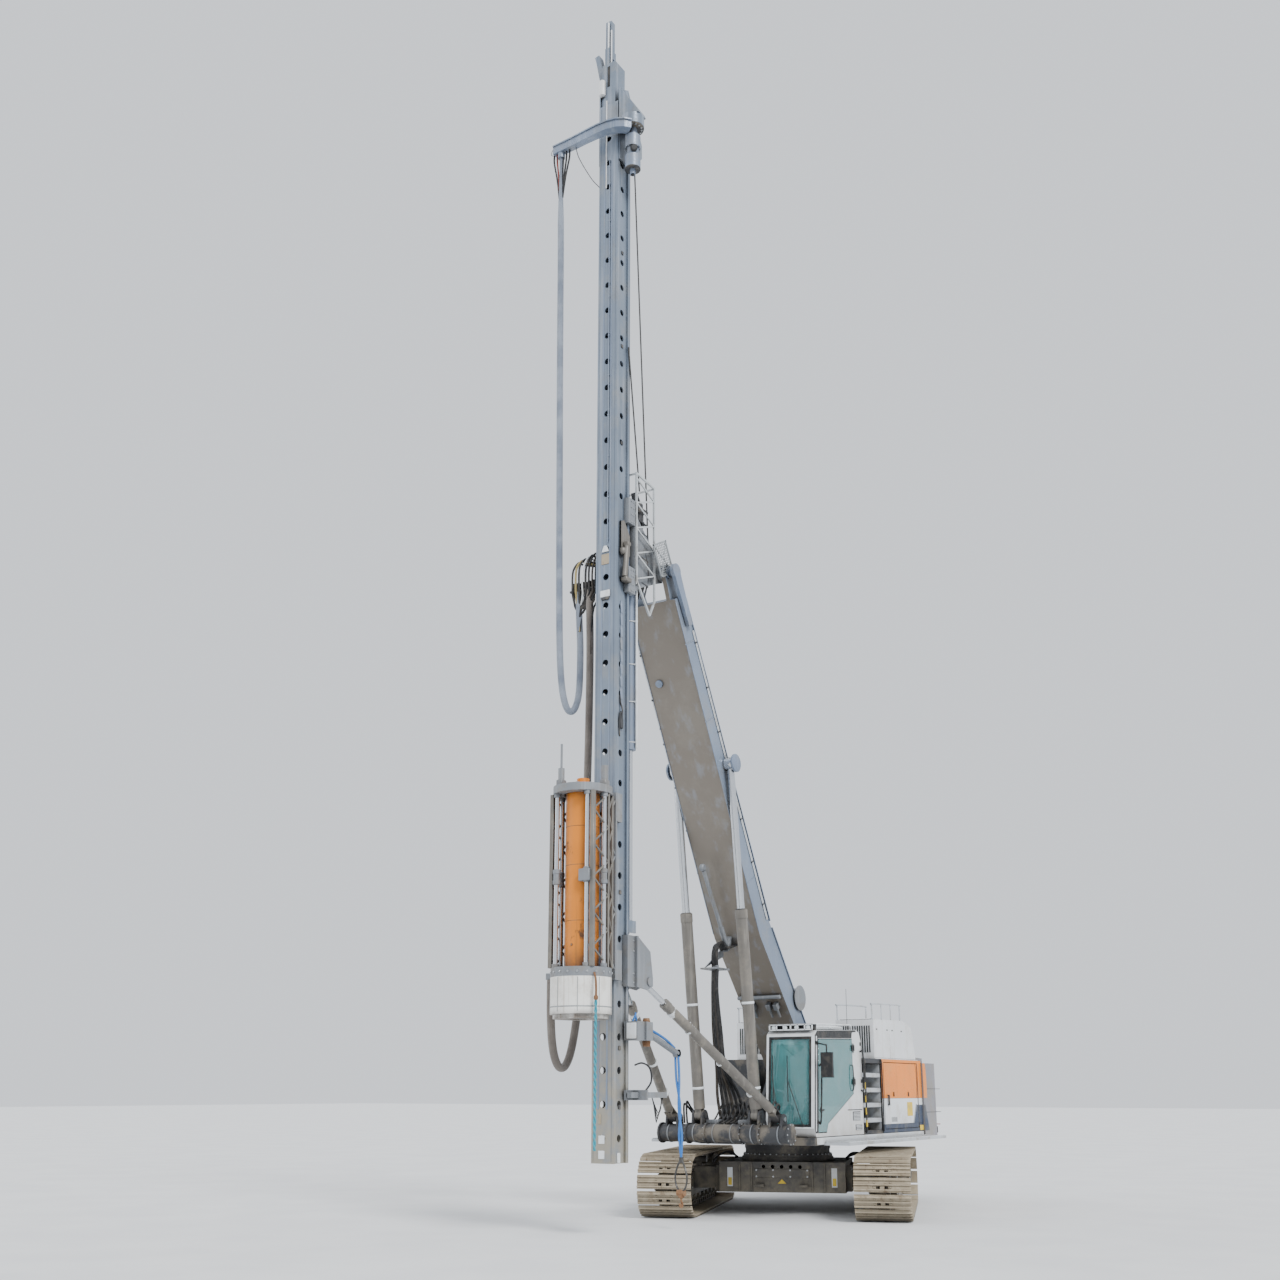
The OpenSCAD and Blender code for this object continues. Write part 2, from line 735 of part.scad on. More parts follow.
module cab_panes() {
    pane_b = [cab_in + 70 + seat_gap, upper_half - 80 - seat_gap];
    color(pane_teal) at_slew() {
        intersection() {
            screen_slab(-30, -30 + pane_t, pane_b);
            side_plate(
                [for (p = front_window) [p[0], p[1] + (p[1] > cab_z0 + 500 ? -seat_gap : seat_gap)]], pane_b
            );
        }
        block([cab_rear + 18, cab_rear + 18 + pane_t], [cab_in + 110 + seat_gap, upper_half - 110 - seat_gap],
              [rear_window_z[0] + seat_gap, rear_window_z[1] - seat_gap]);
        block([side_window_f[0] + seat_gap, side_window_f[1] - seat_gap], [cab_in + 18, cab_in + 18 + pane_t],
              [side_window_z[0] + seat_gap, side_window_z[1] - seat_gap]);
    }
}

// Door outline drawn in on every side: each corner moves along its own inward direction
door_inward = [[1, 1], [-1, 1], [-1, -1], [1, -1], [1, 1], [1, 1]];
door_rim = 76;
function door_outline(gap) = [for (i = [0 : len(door_side) - 1]) door_side[i] + door_inward[i] * gap];
door_hinge_f = door_rear - 20;
door_hinge_b = upper_half + 20;
door_hinge_z = [2050, 2600];
door_knuckle = 90;

module cab_door() {
    color(white) at_slew() {
        difference() {
            side_plate(door_outline(side_gap), [upper_half - cab_t, upper_half]);
            side_plate(door_outline(door_rim), [upper_half - cab_t - 1, upper_half + 1]);
        }
        for (z = door_hinge_z) difference() {
            union() {
                upright(door_hinge_f, door_hinge_b, [z, z + door_knuckle], 14);
                block([door_hinge_f, door_rear + 60], [upper_half + side_gap, upper_half + 26],
                      [z, z + door_knuckle]);
                block([door_rear + 12, door_rear + 60], [upper_half - 1, upper_half + 26],
                      [z, z + door_knuckle]);
            }
            upright(door_hinge_f, door_hinge_b, [z - 1, z + door_knuckle + 1], hinge_pin_r + pin_gap);
        }
    }
}

module door_pane() {
    color(pane_teal) at_slew()
        side_plate(door_outline(door_rim + seat_gap), [upper_half - 30, upper_half - 30 + pane_t]);
}

module operator_seat() {
    b = [cab_in + 230, cab_in + 690];
    floor_z = cab_z0 + cab_t;
    color(dark) at_slew() {
        block([480, 860], [b[0] + 100, b[1] - 100], [floor_z + seat_gap, floor_z + 260]);
        block([400, 950], b, [floor_z + 260, floor_z + 420]);
        side_plate([
            [400, floor_z + 400], [520, floor_z + 400], [400, floor_z + 1080], [290, floor_z + 1080]
        ], [b[0] + 20, b[1] - 20]);
        for (s = [b[0] - 90, b[1] + 10])
            block([520, 1100], [s, s + 80], [floor_z + 470, floor_z + 560]);
        for (s = [b[0] - 90, b[1] + 10])
            block([520, 640], [s, s + 80], [floor_z + seat_gap, floor_z + 480]);
    }
}

// Work lamps and roof visor
function roof_z(f) = mid(cab_side[5][1], cab_side[4][1],
                         (f - cab_side[5][0]) / (cab_side[4][0] - cab_side[5][0])) + seat_gap;
module cab_lamps() {
    bar_f = [cab_front - 270, cab_front - 200];
    top = roof_z(bar_f[0]) + 100;
    side_plate([
        [bar_f[0], roof_z(bar_f[0])], [bar_f[1], roof_z(bar_f[1])], [bar_f[1], top], [bar_f[0], top]
    ], [cab_in + 40, upper_half - 40]);
    for (b = [0, 1, 2, 3])
        fore_aft([bar_f[1] - 2, bar_f[1] + 70], mid(cab_in + 120, upper_half - 120, b / 3), top - 52, 45);
}

module side_mirror() {
    arm_f = cab_front - 165;
    block([arm_f - 30, arm_f + 30], [upper_half + seat_gap, upper_half + 14], [cab_z1 - 290, cab_z1 - 230]);
    bar([arm_f, upper_half + 12, cab_z1 - 260], [cab_front - 60, upper_half + 220, cab_z1 - 300], 12);
    stem = [cab_front - 60, upper_half + 220];
    bar([stem[0], stem[1], cab_z1 - 290], [stem[0], stem[1], cab_z1 - 420], 12);
    block([stem[0] - 30, stem[0] + 20], [stem[1] - 100, stem[1] + 100], [cab_z1 - 800, cab_z1 - 410]);
}

module cab_fittings() {
    color(dark) at_slew() {
        cab_lamps();
        side_mirror();
    }
}

// Boom: a box with a knee, its foot forks and its head ears
boom_dir_low = unit(knee - [foot_f, foot_z]);
function square_to(d) = [-d[1], d[0]];
boom_knee_n = unit(square_to(boom_dir_low) + square_to(boom_dir_high));
foot_n = square_to(boom_dir_low);
head_n = square_to(boom_dir_high);
foot = [foot_f, foot_z];
head_end = head - boom_dir_high * 420;
boom_low_start = foot + boom_dir_low * 120;
boom_outline = [
    boom_low_start + foot_n * boom_d * 0.36, knee + boom_knee_n * boom_d * 0.5,
    head_end + head_n * boom_d * 0.40, head_end - head_n * boom_d * 0.40,
    knee - boom_knee_n * boom_d * 0.56, boom_low_start - foot_n * boom_d * 0.36
];
ear_t = 70;

module boom() {
    half = boom_w / 2;
    color(steel_blue) at_slew() difference() {
        union() {
            side_plate(boom_outline, [-half, half]);
            across(foot, [-half, half], 190);
            both_sides() {
                side_plate([
                    head_end - head_n * boom_d * 0.40, head_end + head_n * boom_d * 0.40,
                    head + head_n * 120, head - head_n * 120
                ], [half - ear_t - 90, half - 90]);
                across(head, [half - ear_t - 90, half - 90], 135);
                // Boss for a boom cylinder's eye
                across(boom_eye, [half - 1, half + boss_t], 120);
            }
        }
        across(foot, [-half - 1, half + 1], foot_pin_r + pin_gap);
        across(head, [-half - 1, half + 1], head_pin_r + pin_gap);
    }
}

// Boom cylinders stand outside the boom's flanks
module cyl_frame(p, angle, b) {
    translate([b, -p[0], p[1]]) rotate([90 - angle, 0, 0]) children();
}

module boom_barrels() {
    color(grey) at_slew() both_sides() cyl_frame(lug_foot, cyl_angle, cyl_b) difference() {
        union() {
            translate([0, 0, 112]) cylinder(r = boom_cyl_r, h = cyl_barrel_len - 112);
            translate([-58, -62, 0]) cube([116, 124, 113]);
            translate([0, 0, cyl_barrel_len - 140]) cylinder(r = boom_cyl_r + 8, h = 140);
            rotate([0, 90, 0]) translate([0, 0, -60]) cylinder(r = 88, h = 120);
        }
        translate([0, 0, 200]) cylinder(r = boom_cyl_r - 16, h = cyl_barrel_len - 340);
        translate([0, 0, cyl_barrel_len - 160]) cylinder(r = boom_rod_r + slide_gap, h = 170);
        rotate([0, 90, 0]) translate([0, 0, -61]) cylinder(r = 45 + pin_gap, h = 122);
    }
}

module boom_rods() {
    eye_in = cyl_b - boom_w / 2 - boss_t - side_gap;
    color(chrome) at_slew() both_sides() cyl_frame(lug_foot, cyl_angle, cyl_b) {
        translate([0, 0, 2500]) cylinder(r = boom_rod_r, h = cyl_len - 2500 - 20);
        translate([-eye_in, 0, cyl_len]) rotate([0, 90, 0]) cylinder(r = 112, h = eye_in + boom_rod_r);
    }
}

module head_pin() {
    half = boom_w / 2;
    arm = [half + 12, half + 72];
    low = head - boom_dir_high * head_arm_len;
    color(steel_blue) at_slew() {
        across(head, [-half - 14, half + 14], head_pin_r);
        both_sides() {
            across(head, [half - 84, half - 60], head_pin_r + 35);
            // Keeper arm outside the boom's flank
            across(head, arm, 120);
            side_plate([head + head_n * 100, low + head_n * 60, low - head_n * 60, head - head_n * 100], arm);
        }
    }
}

// Sledge: collar on the boom's head pin, side plates and shoes that hold the leader's rear rails
sledge_z = [9360, 10920];
claw_out = rail_out + 60;
module rear_claws(z) {
    both_sides() {
        // Behind, beside and in front of the rear rail
        block([leader_back - 70, leader_back - slide_gap], [web_out - 40, claw_out], z);
        block([leader_back - 70, leader_back + rail_d + 60], [rail_out + slide_gap, claw_out], z);
        block([leader_back + rail_d + slide_gap, leader_back + rail_d + 60],
              [web_out + side_gap, claw_out], z);
    }
}

module sledge() {
    inner = boom_w / 2 - ear_t - 90 - side_gap;
    color(grey) at_slew() {
        difference() {
            union() {
                both_sides() side_plate([
                    [head[0] - 60, head[1] - 130], [head[0] + 120, head[1] - 200],
                    [leader_back - 60, sledge_z[0] + 80], [leader_back - 60, sledge_z[1] - 80],
                    [head[0] + 140, head[1] + 260], [head[0] - 60, head[1] + 130]
                ], [150, 190]);
                across(head, [-inner, inner], 130);
            }
            across(head, [-inner - 1, inner + 1], head_pin_r + pin_gap);
        }
        for (z = [sledge_z[0], sledge_z[1] - 420]) {
            rear_claws([z, z + 420]);
            both_sides() block([leader_back - 70, leader_back - 30], [100, claw_out], [z, z + 420]);
        }
        both_sides()
            block([leader_back - 140, leader_back - 60], [150, 230], [sledge_z[0] + 80, sledge_z[1] - 80]);
        // Bridge that carries the lift cylinder's upper eye
        block([lift_f - 120, leader_back - 100], [-151, 151], [lift_top - 60, lift_top + 90]);
    }
}

// Lattice cage behind the leader, round the lift cylinder's top
function strip(p, q, w) =
    let (d = unit(q - p), n = [-d[1], d[0]] * w / 2)
        [p - n, p + n, q + n, q - n];

module guide_cage() {
    f0 = leader_f - 815;
    f1 = leader_back - 92;
    z0 = 9300;
    z1 = 11420;
    b = 250;
    w = 30;
    low = [f0 + 150, z0 - 160];
    bays = 4;
    bay_h = (z1 - z0 - 420) / bays;
    color(white) at_slew() {
        both_sides() {
            side_plate(strip([f1, z0 + 300], [f1, z1], w), [b - 14, b + 14]);
            side_plate(strip([f0, z0 + 100], [f0, z1 - 60], w), [b - 14, b + 14]);
            side_plate(strip([f1, z0 + 310], low, w), [b - 14, b + 14]);
            side_plate(strip([f0, z0 + 110], low, w), [b - 14, b + 14]);
            side_plate(strip([f1 + 10, z1 - 12], [f0 - 10, z1 - 72], w), [b - 14, b + 14]);
            for (i = [0 : bays - 1]) {
                z = z0 + 330 + bay_h * i;
                side_plate(strip([f1, z], [f0, z + bay_h / 2], w * 0.8), [b - 10, b + 10]);
                side_plate(strip([f0, z + bay_h / 2], [f1, z + bay_h], w * 0.8), [b - 9, b + 9]);
            }
            // Lugs that bolt the cage to the sledge's claws
            for (z = [sledge_z[0] + 180, sledge_z[1] - 240])
                block([f1 - 6, leader_back - 70 - seat_gap], [b - 18, b + 8], [z, z + 60]);
        }
        block([f1 - 12, f1 + 12], [-b, b], [z1 - 30, z1 - 6]);
        block([f0 - 12, f0 + 12], [-b, b], [z1 - 92, z1 - 68]);
    }
}

// Lower guide: holds the rear rails and carries the two stay cylinders' heads
lower_z = [3390, 4120];
module lower_guide() {
    ear_in = stay_head_b - 92;
    ear_out = stay_head_b + 92;
    color(grey) at_slew() {
        rear_claws(lower_z);
        block([leader_back - 110, leader_back - 69], [-ear_out - 24, ear_out + 24], lower_z);
        both_sides() {
            for (b = [ear_in, ear_out]) side_plate([
                [leader_back - 80, lower_z[0]], [leader_back - 80, lower_z[1]],
                [stay_head[0] - 40, lower_z[1] - 200], [stay_head[0] - 110, stay_head[1] + 60],
                [stay_head[0] - 110, stay_head[1] - 60], [stay_head[0] + 40, stay_head[1] - 120]
            ], [b, b + 24]);
            across(stay_head, [ear_out + 23, ear_out + 44], 62);
        }
        pile_guide();
    }
}

// Pile guide: a spine below the lower guide with a box, a straight arm and a beam on the left side
module pile_guide() {
    spine = [leader_back - 110, leader_back - 70];
    box_z = [2640, 2900];
    beam_z = [1820, 1960];
    block(spine, [-70, 70], [beam_z[0], lower_z[0] + 1]);
    for (z = [box_z, beam_z]) {
        block([leader_back - 71, leader_back - slide_gap], [60, rail_out + 40], z);
        block(spine, [60, rail_out + 260], z);
        block([leader_back - 71, leader_back + rail_d + 60], [rail_out + slide_gap, rail_out + 40], z);
    }
    block([leader_back - 290, leader_back + 130], [rail_out + 39, rail_out + 230], box_z);
    block([leader_back - 840, leader_back + 130], [rail_out + 60, rail_out + 130],
          [beam_z[0] + 30, beam_z[1] - 30]);
    arm_end = [leader_f - 1405, 260, 2487];
    bar([leader_back - 280, 300, 2770], arm_end, 46);
    across([arm_end[0], arm_end[2]], [arm_end[1] - 40, arm_end[1] + 40], 60);
}

// Lift cylinder: barrel on the sledge, rod eye on the leader's lug
module lift_barrel() {
    color(grey) at_slew() difference() {
        union() {
            upright(lift_f, lift_b, [lift_gland, lift_top - 60], lift_cyl_r);
            upright(lift_f, lift_b, [lift_gland, lift_gland + 150], lift_cyl_r + 8);
        }
        upright(lift_f, lift_b, [lift_gland + 120, lift_top - 140], lift_cyl_r - 14);
        upright(lift_f, lift_b, [lift_gland - 1, lift_gland + 130], lift_rod_r + slide_gap);
    }
}

module lift_rod() {
    color(chrome) at_slew() {
        upright(lift_f, lift_b, [lift_eye_z + 60, lift_gland + 560], lift_rod_r);
        across([lift_f, lift_eye_z], [lift_b - 44, lift_b + 44], 78);
    }
}

module leader() {
    first = leader_z0 + 330;
    count = floor((leader_z1 - 300 - first) / hole_pitch);
    color(steel_blue) at_slew() difference() {
        union() {
            block([leader_back, leader_front], [-web_out, web_out], [leader_z0, leader_z1]);
            both_sides() for (f = [leader_back, leader_front - rail_d])
                block([f, f + rail_d], [web_out - 2, rail_out], [leader_z0, leader_z1]);
            // Lug for the lift cylinder's rod
            both_sides() block([lift_f - 70, leader_back + 2], [44 + seat_gap, 68],
                               [lift_eye_z - 90, lift_eye_z + 90]);
        }
        block([leader_back + leader_wall, leader_front - leader_wall],
              [-web_out + leader_wall, web_out - leader_wall], [leader_z0 - 1, leader_z1 + 1]);
        for (i = [0 : count]) {
            z = first + i * hole_pitch;
            across([leader_f, z], [-rail_out - 1, rail_out + 1], hole_r);
            fore_aft([leader_front - leader_wall - 5, leader_front + 1], 0, z, hole_r);
        }
    }
}

// Leader head: cheek plates with the rope sheaves, the swing ring's housing and the narrow top section
head_z0 = leader_z1 - 1090;
sheave_at = [leader_f - 339, head_z0 + 560];
sheave_r = 140;
ring_at = [leader_f + 75, 400];
ring_r = 190;
ring_z = head_z0 + 550;
box_top = leader_z1 + 890;
mast_top = leader_z1 + 1840;
module leader_head() {
    crest = [
        [leader_front - 20, head_z0], [leader_front - 20, leader_z1 + 250],
        [leader_back + 100, leader_z1 + 410],
        [sheave_at[0] - 190, sheave_at[1] + 130], [sheave_at[0] - 190, sheave_at[1] - 120],
        [leader_back, head_z0]
    ];
    color(steel_blue) at_slew() {
        both_sides() side_plate(crest, [rail_out, rail_out + 22]);
        block([leader_back, leader_front], [-rail_out, rail_out], [leader_z1, leader_z1 + 30]);
        // Upper box, narrow top and the bent guard beside them
        difference() {
            block([leader_f - 150, leader_f + 150], [-165, 95], [leader_z1 + 29, box_top]);
            block([leader_f + 100, leader_f + 151], [-60, -10], [leader_z1 + 420, box_top - 60]);
        }
        block([leader_f - 55, leader_f + 55], [-160, -50], [box_top - 1, mast_top]);
        block([leader_f - 105, leader_f + 95], [-150, -60], [box_top - 1, mast_top - 570]);
        cross_plate([
            [-164, box_top - 580], [-164, box_top - 180], [-280, box_top + 320], [-364, box_top + 300],
            [-330, box_top + 170], [-190, box_top - 580]
        ], [leader_f - 40, leader_f + 90]);
        // Housing of the swing ring with its sloping cover
        difference() {
            union() {
                upright(ring_at[0], ring_at[1], [ring_z, ring_z + 190], ring_r);
                block([ring_at[0] - 140, ring_at[0] + 140], [rail_out + 21, ring_at[1]],
                      [ring_z, ring_z + 190]);
            }
            upright(ring_at[0], ring_at[1], [ring_z - 1, ring_z + 70], ring_r - 36);
        }
        cross_plate([
            [rail_out + 21, ring_z + 189], [ring_at[1] + ring_r - 6, ring_z + 189],
            [ring_at[1] + ring_r - 30, ring_z + 260], [rail_out + 40, ring_z + 810],
            [rail_out + 21, ring_z + 810]
        ], [ring_at[0] - 120, ring_at[0] + 120]);
    }
}

module head_sheaves() {
    // Top, bottom and radius of each stage
    drive = [
        [ring_z + 60, ring_z - 170, 75], [ring_z - 169, ring_z - 390, 130], [ring_z - 389, ring_z - 550, 100],
        [ring_z - 549, ring_z - 780, 130], [ring_z - 779, ring_z - 880, 48]
    ];
    color(dark) at_slew() {
        for (b = [-75, 75]) across(sheave_at, [b - 30, b + 30], sheave_r);
        across(sheave_at, [-rail_out + seat_gap, rail_out - seat_gap], 45);
        // Swing drive, hanging in the ring's housing
        upright(ring_at[0], ring_at[1], [ring_z + 20, ring_z + 70 - seat_gap], ring_r - 60);
        for (d = drive) upright(ring_at[0], ring_at[1], [d[1], d[0]], d[2]);
    }
}

// Hose arm: a swan neck round the leader's front to the rig's right side
module hose_arm() {
    // Points in front of the leader's axis and beside it
    route = [
        for (p = [
            [225, 430], [305, 365], [365, 265], [400, 120], [410, -60], [400, -300], [380, -600], [365, -975]
        ]) [leader_f + p[0], p[1]]
    ];
    width = [95, 90, 84, 78, 72, 66, 62, 60];
    z = [ring_z - 160, ring_z - seat_gap];
    color(steel_blue) at_slew() {
        plan_plate(lane(route, width), z);
        plan_plate(lane(route, width * 1.25), [z[1] - 24, z[1]]);
        upright(leader_f + 365, -840, [z[0] - 100, z[0] + 1], 60);
    }
}

// Bracket on the leader's right web, where the hoses arch over
module hose_bracket() {
    z = [9480, 9640];
    color(dark) at_slew() {
        block([leader_f - 45, leader_f + 65], [-760, -web_out], [z[0], z[0] + 30]);
        block([leader_f - 45, leader_f - 15], [-760, -web_out], [z[0], z[1]]);
        for (b = [-700, -620, -540, -420, -340])
            upright(leader_f + 25, b, [z[0] + 30, z[0] + 150], 28);
    }
}

// Hammer: frame with top ring, guide rods and side lattice, riding on the front rails
ring_h = 110;
cap_h = 560;
collar_z = cap_z + cap_h;
cage_top = cap_z + cap_h + 130 + cage_h;
rod_circle = cap_r - 60;
module front_claws(z) {
    both_sides() {
        block([leader_front + slide_gap, leader_front + 60], [web_out - 60, claw_out], z);
        block([leader_front - rail_d - 50, leader_front + 60], [rail_out + slide_gap, claw_out], z);
        block([leader_front - rail_d - 50, leader_front - rail_d - slide_gap],
              [web_out + side_gap, claw_out], z);
    }
}

module hammer_frame() {
    base = [collar_z, collar_z + 130];
    color(grey) at_slew() {
        difference() {
            upright(hammer_f, 0, base, cap_r);
            upright(hammer_f, 0, [base[0] - 1, base[1] + 1], ram_r + 20);
        }
        difference() {
            upright(hammer_f, 0, [cage_top - ring_h, cage_top], cap_r);
            upright(hammer_f, 0, [cage_top - ring_h - 1, cage_top + 1], ram_r + 30);
        }
        for (a = [0, 45, 135, 180, 225, 315])
            upright(hammer_f + rod_circle * sin(a), rod_circle * cos(a),
                    [base[1] - 2, cage_top - ring_h + 2], 32);
        for (z = [base[0], cage_top - 420]) {
            front_claws([z, z + 420]);
            block([leader_front + 30, hammer_f - ram_r - 40], [-150, 150], [z, z + 100]);
        }
        both_sides() hammer_lattice(base[1], cage_top - ring_h);
        // Elbow where the hoses reach the hammer
        block([hammer_f - 90, hammer_f - 10], [-610, -380], [collar_z, collar_z + 90]);
        // Lifting lug and hose fitting on the top ring
        upright(hammer_f + 260, -200, [cage_top - 2, cage_top + 260], 45);
        upright(hammer_f + 260, -200, [cage_top + 200, cage_top + 620], 16);
        upright(hammer_f - 60, 330, [cage_top - 2, cage_top + 300], 50);
    }
}

// Flat lattice between the hammer's rods and the leader
module hammer_lattice(z0, z1) {
    b = claw_out - 20;
    f = [leader_front + 40, hammer_f - 210];
    n = 6;
    for (p = f) block([p - 18, p + 18], [b - 18, b + 18], [z0 - 2, z1 + 2]);
    for (i = [0 : n - 1]) {
        p = mid(z0, z1, i / n);
        q = mid(z0, z1, (i + 1) / n);
        bar([f[i % 2], b, p], [f[1 - i % 2], b, q], 12);
    }
}

module drive_cap() {
    color(white) at_slew() difference() {
        union() {
            upright(hammer_f, 0, [cap_z + 60, collar_z], cap_r);
            upright(hammer_f, 0, [cap_z, cap_z + 61], cap_r - 40);
        }
        translate([-socket_w / 2, -hammer_f - socket_w / 2, cap_z - 1]) cube([socket_w, socket_w, 321]);
    }
}

module ram() {
    color(orange) at_slew() {
        upright(hammer_f, 0, [collar_z + seat_gap, cage_top - 20], ram_r);
        upright(hammer_f, 0, [cage_top - 21, cage_top + 130], 90);
    }
}

// Stay cylinders: pins, forks, barrels and rods
module stay_pins() {
    color(chrome) at_slew() both_sides()
        across(stay_foot, [stay_foot_b - 132, stay_foot_b + 132], 36);
}

module stay_frame() {
    translate([stay_foot_b, -stay_foot[0], stay_foot[1]]) rotate([90 - stay_angle, 0, 0]) children();
}

module fork_frame() {
    stay_frame() translate([0, 0, fork_reach]) rotate([0, -stay_lean, 0]) children();
}

module stay_forks() {
    color(dark) at_slew() both_sides() stay_frame() {
        difference() {
            union() {
                rotate([0, 90, 0]) translate([0, 0, -76]) cylinder(r = 64, h = 152);
                for (s = [46, -68]) translate([-58, s, 20]) cube([116, 22, fork_reach + 30]);
                translate([-58, -68, 40]) cube([116, 136, 34]);
            }
            rotate([0, 90, 0]) translate([0, 0, -77]) cylinder(r = 36 + pin_gap, h = 154);
        }
        translate([0, 68, fork_reach]) rotate([90, 0, 0]) cylinder(r = 26, h = 136);
    }
}

module stay_barrel() {
    fork_frame() difference() {
        union() {
            translate([0, 0, 70]) cylinder(r = stay_cyl_r, h = stay_barrel_len - 70);
            translate([0, 0, stay_barrel_len - 110]) cylinder(r = stay_cyl_r + 7, h = 110);
            translate([-30, -40, 0]) cube([60, 80, 90]);
            translate([0, 40, 0]) rotate([90, 0, 0]) cylinder(r = 50, h = 80);
        }
        translate([0, 0, 200]) cylinder(r = stay_cyl_r - 12, h = stay_barrel_len - 300);
        translate([0, 0, stay_barrel_len - 120]) cylinder(r = stay_rod_r + slide_gap, h = 130);
        translate([0, 41, 0]) rotate([90, 0, 0]) cylinder(r = 26 + pin_gap, h = 82);
    }
}

module stay_rod() {
    fork_frame() {
        translate([0, 0, 1000]) cylinder(r = stay_rod_r, h = stay_len - 1000 - 40);
    }
    across(stay_head, [stay_head_b - 34, stay_head_b + 34], 58);
}

module stay_barrel_left() {
    color(grey) at_slew() stay_barrel();
}

module stay_barrel_right() {
    color(grey) at_slew() mirror([1, 0, 0]) stay_barrel();
}

module stay_rod_left() {
    color(chrome) at_slew() stay_rod();
}

module stay_rod_right() {
    color(chrome) at_slew() mirror([1, 0, 0]) stay_rod();
}

module hose_loop() {
    color(dark) at_slew() swept_tube(hose_loop_path, hose_loop_r, 8);
}

module hammer_hose() {
    color(dark) at_slew() swept_tube(hammer_hose_path, hammer_hose_r, 8);
}

carbody();
slew_ring();
track_frames();
track(1);  // track_left
track(-1);  // track_right
deck();
counterweight();
engine_block();
housings();
hoods();
service_door_left();
service_door_right();
walkways();
winch();
cab_shell();
cab_panes();
cab_door();
door_pane();
operator_seat();
cab_fittings();
boom();
boom_barrels();
boom_rods();
head_pin();
sledge();
guide_cage();
lower_guide();
lift_barrel();
lift_rod();
leader();
leader_head();
head_sheaves();
hose_arm();
hose_bracket();
hammer_frame();
drive_cap();
ram();
stay_pins();
stay_forks();
stay_barrel_left();
stay_barrel_right();
stay_rod_left();
stay_rod_right();
hose_loop();
hammer_hose();
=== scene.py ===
from math import cos, dist, hypot, pi, radians, sin

import bmesh
import bpy
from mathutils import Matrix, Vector


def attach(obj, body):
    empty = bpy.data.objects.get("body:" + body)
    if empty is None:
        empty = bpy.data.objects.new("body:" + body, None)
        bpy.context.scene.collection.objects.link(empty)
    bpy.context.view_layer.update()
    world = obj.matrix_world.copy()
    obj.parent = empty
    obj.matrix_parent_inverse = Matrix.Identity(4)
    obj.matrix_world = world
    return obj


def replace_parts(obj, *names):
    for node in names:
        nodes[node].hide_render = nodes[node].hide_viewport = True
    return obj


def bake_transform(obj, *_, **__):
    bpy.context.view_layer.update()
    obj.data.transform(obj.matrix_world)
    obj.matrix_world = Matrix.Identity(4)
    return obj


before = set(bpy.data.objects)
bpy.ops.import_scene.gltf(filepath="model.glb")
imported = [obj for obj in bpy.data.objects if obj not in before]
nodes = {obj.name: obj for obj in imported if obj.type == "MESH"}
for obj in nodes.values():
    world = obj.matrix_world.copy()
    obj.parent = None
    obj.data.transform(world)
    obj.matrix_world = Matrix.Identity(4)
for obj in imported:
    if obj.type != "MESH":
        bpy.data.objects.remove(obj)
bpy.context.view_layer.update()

# Points are millimetres forward of the slewing axis, to the left of it and above the ground
SHIFT = 1482.5
TURN = radians(19.8)


def show(obj):
    bpy.context.scene.collection.objects.link(obj)


def P(f, b, z):
    return Vector((b / 1000, (SHIFT - f) / 1000, z / 1000))


def U(f, b, z):
    """A point of the undercarriage, which stands turned under the upper carriage."""
    x, y = b / 1000, -f / 1000
    c, s = cos(TURN), sin(TURN)
    return Vector((x * c - y * s, x * s + y * c + SHIFT / 1000, z / 1000))


# Camera
camera_data = bpy.data.cameras.new("camera")
camera_data.lens = 38.34
camera_data.sensor_width = 36
camera_data.shift_y = 0.08
camera_data.clip_end = 400
camera = bpy.data.objects.new("camera", camera_data)
camera.location = (10.808, -20.584, 1.947)
camera.rotation_euler = (radians(104.34), 0, radians(32.02))
show(camera)
bpy.context.scene.camera = camera


# Materials
def srgb(text):
    out = []
    for i in (1, 3, 5):
        c = int(text[i:i + 2], 16) / 255
        out.append(c / 12.92 if c <= 0.04045 else ((c + 0.055) / 1.055) ** 2.4)
    return (*out, 1.0)


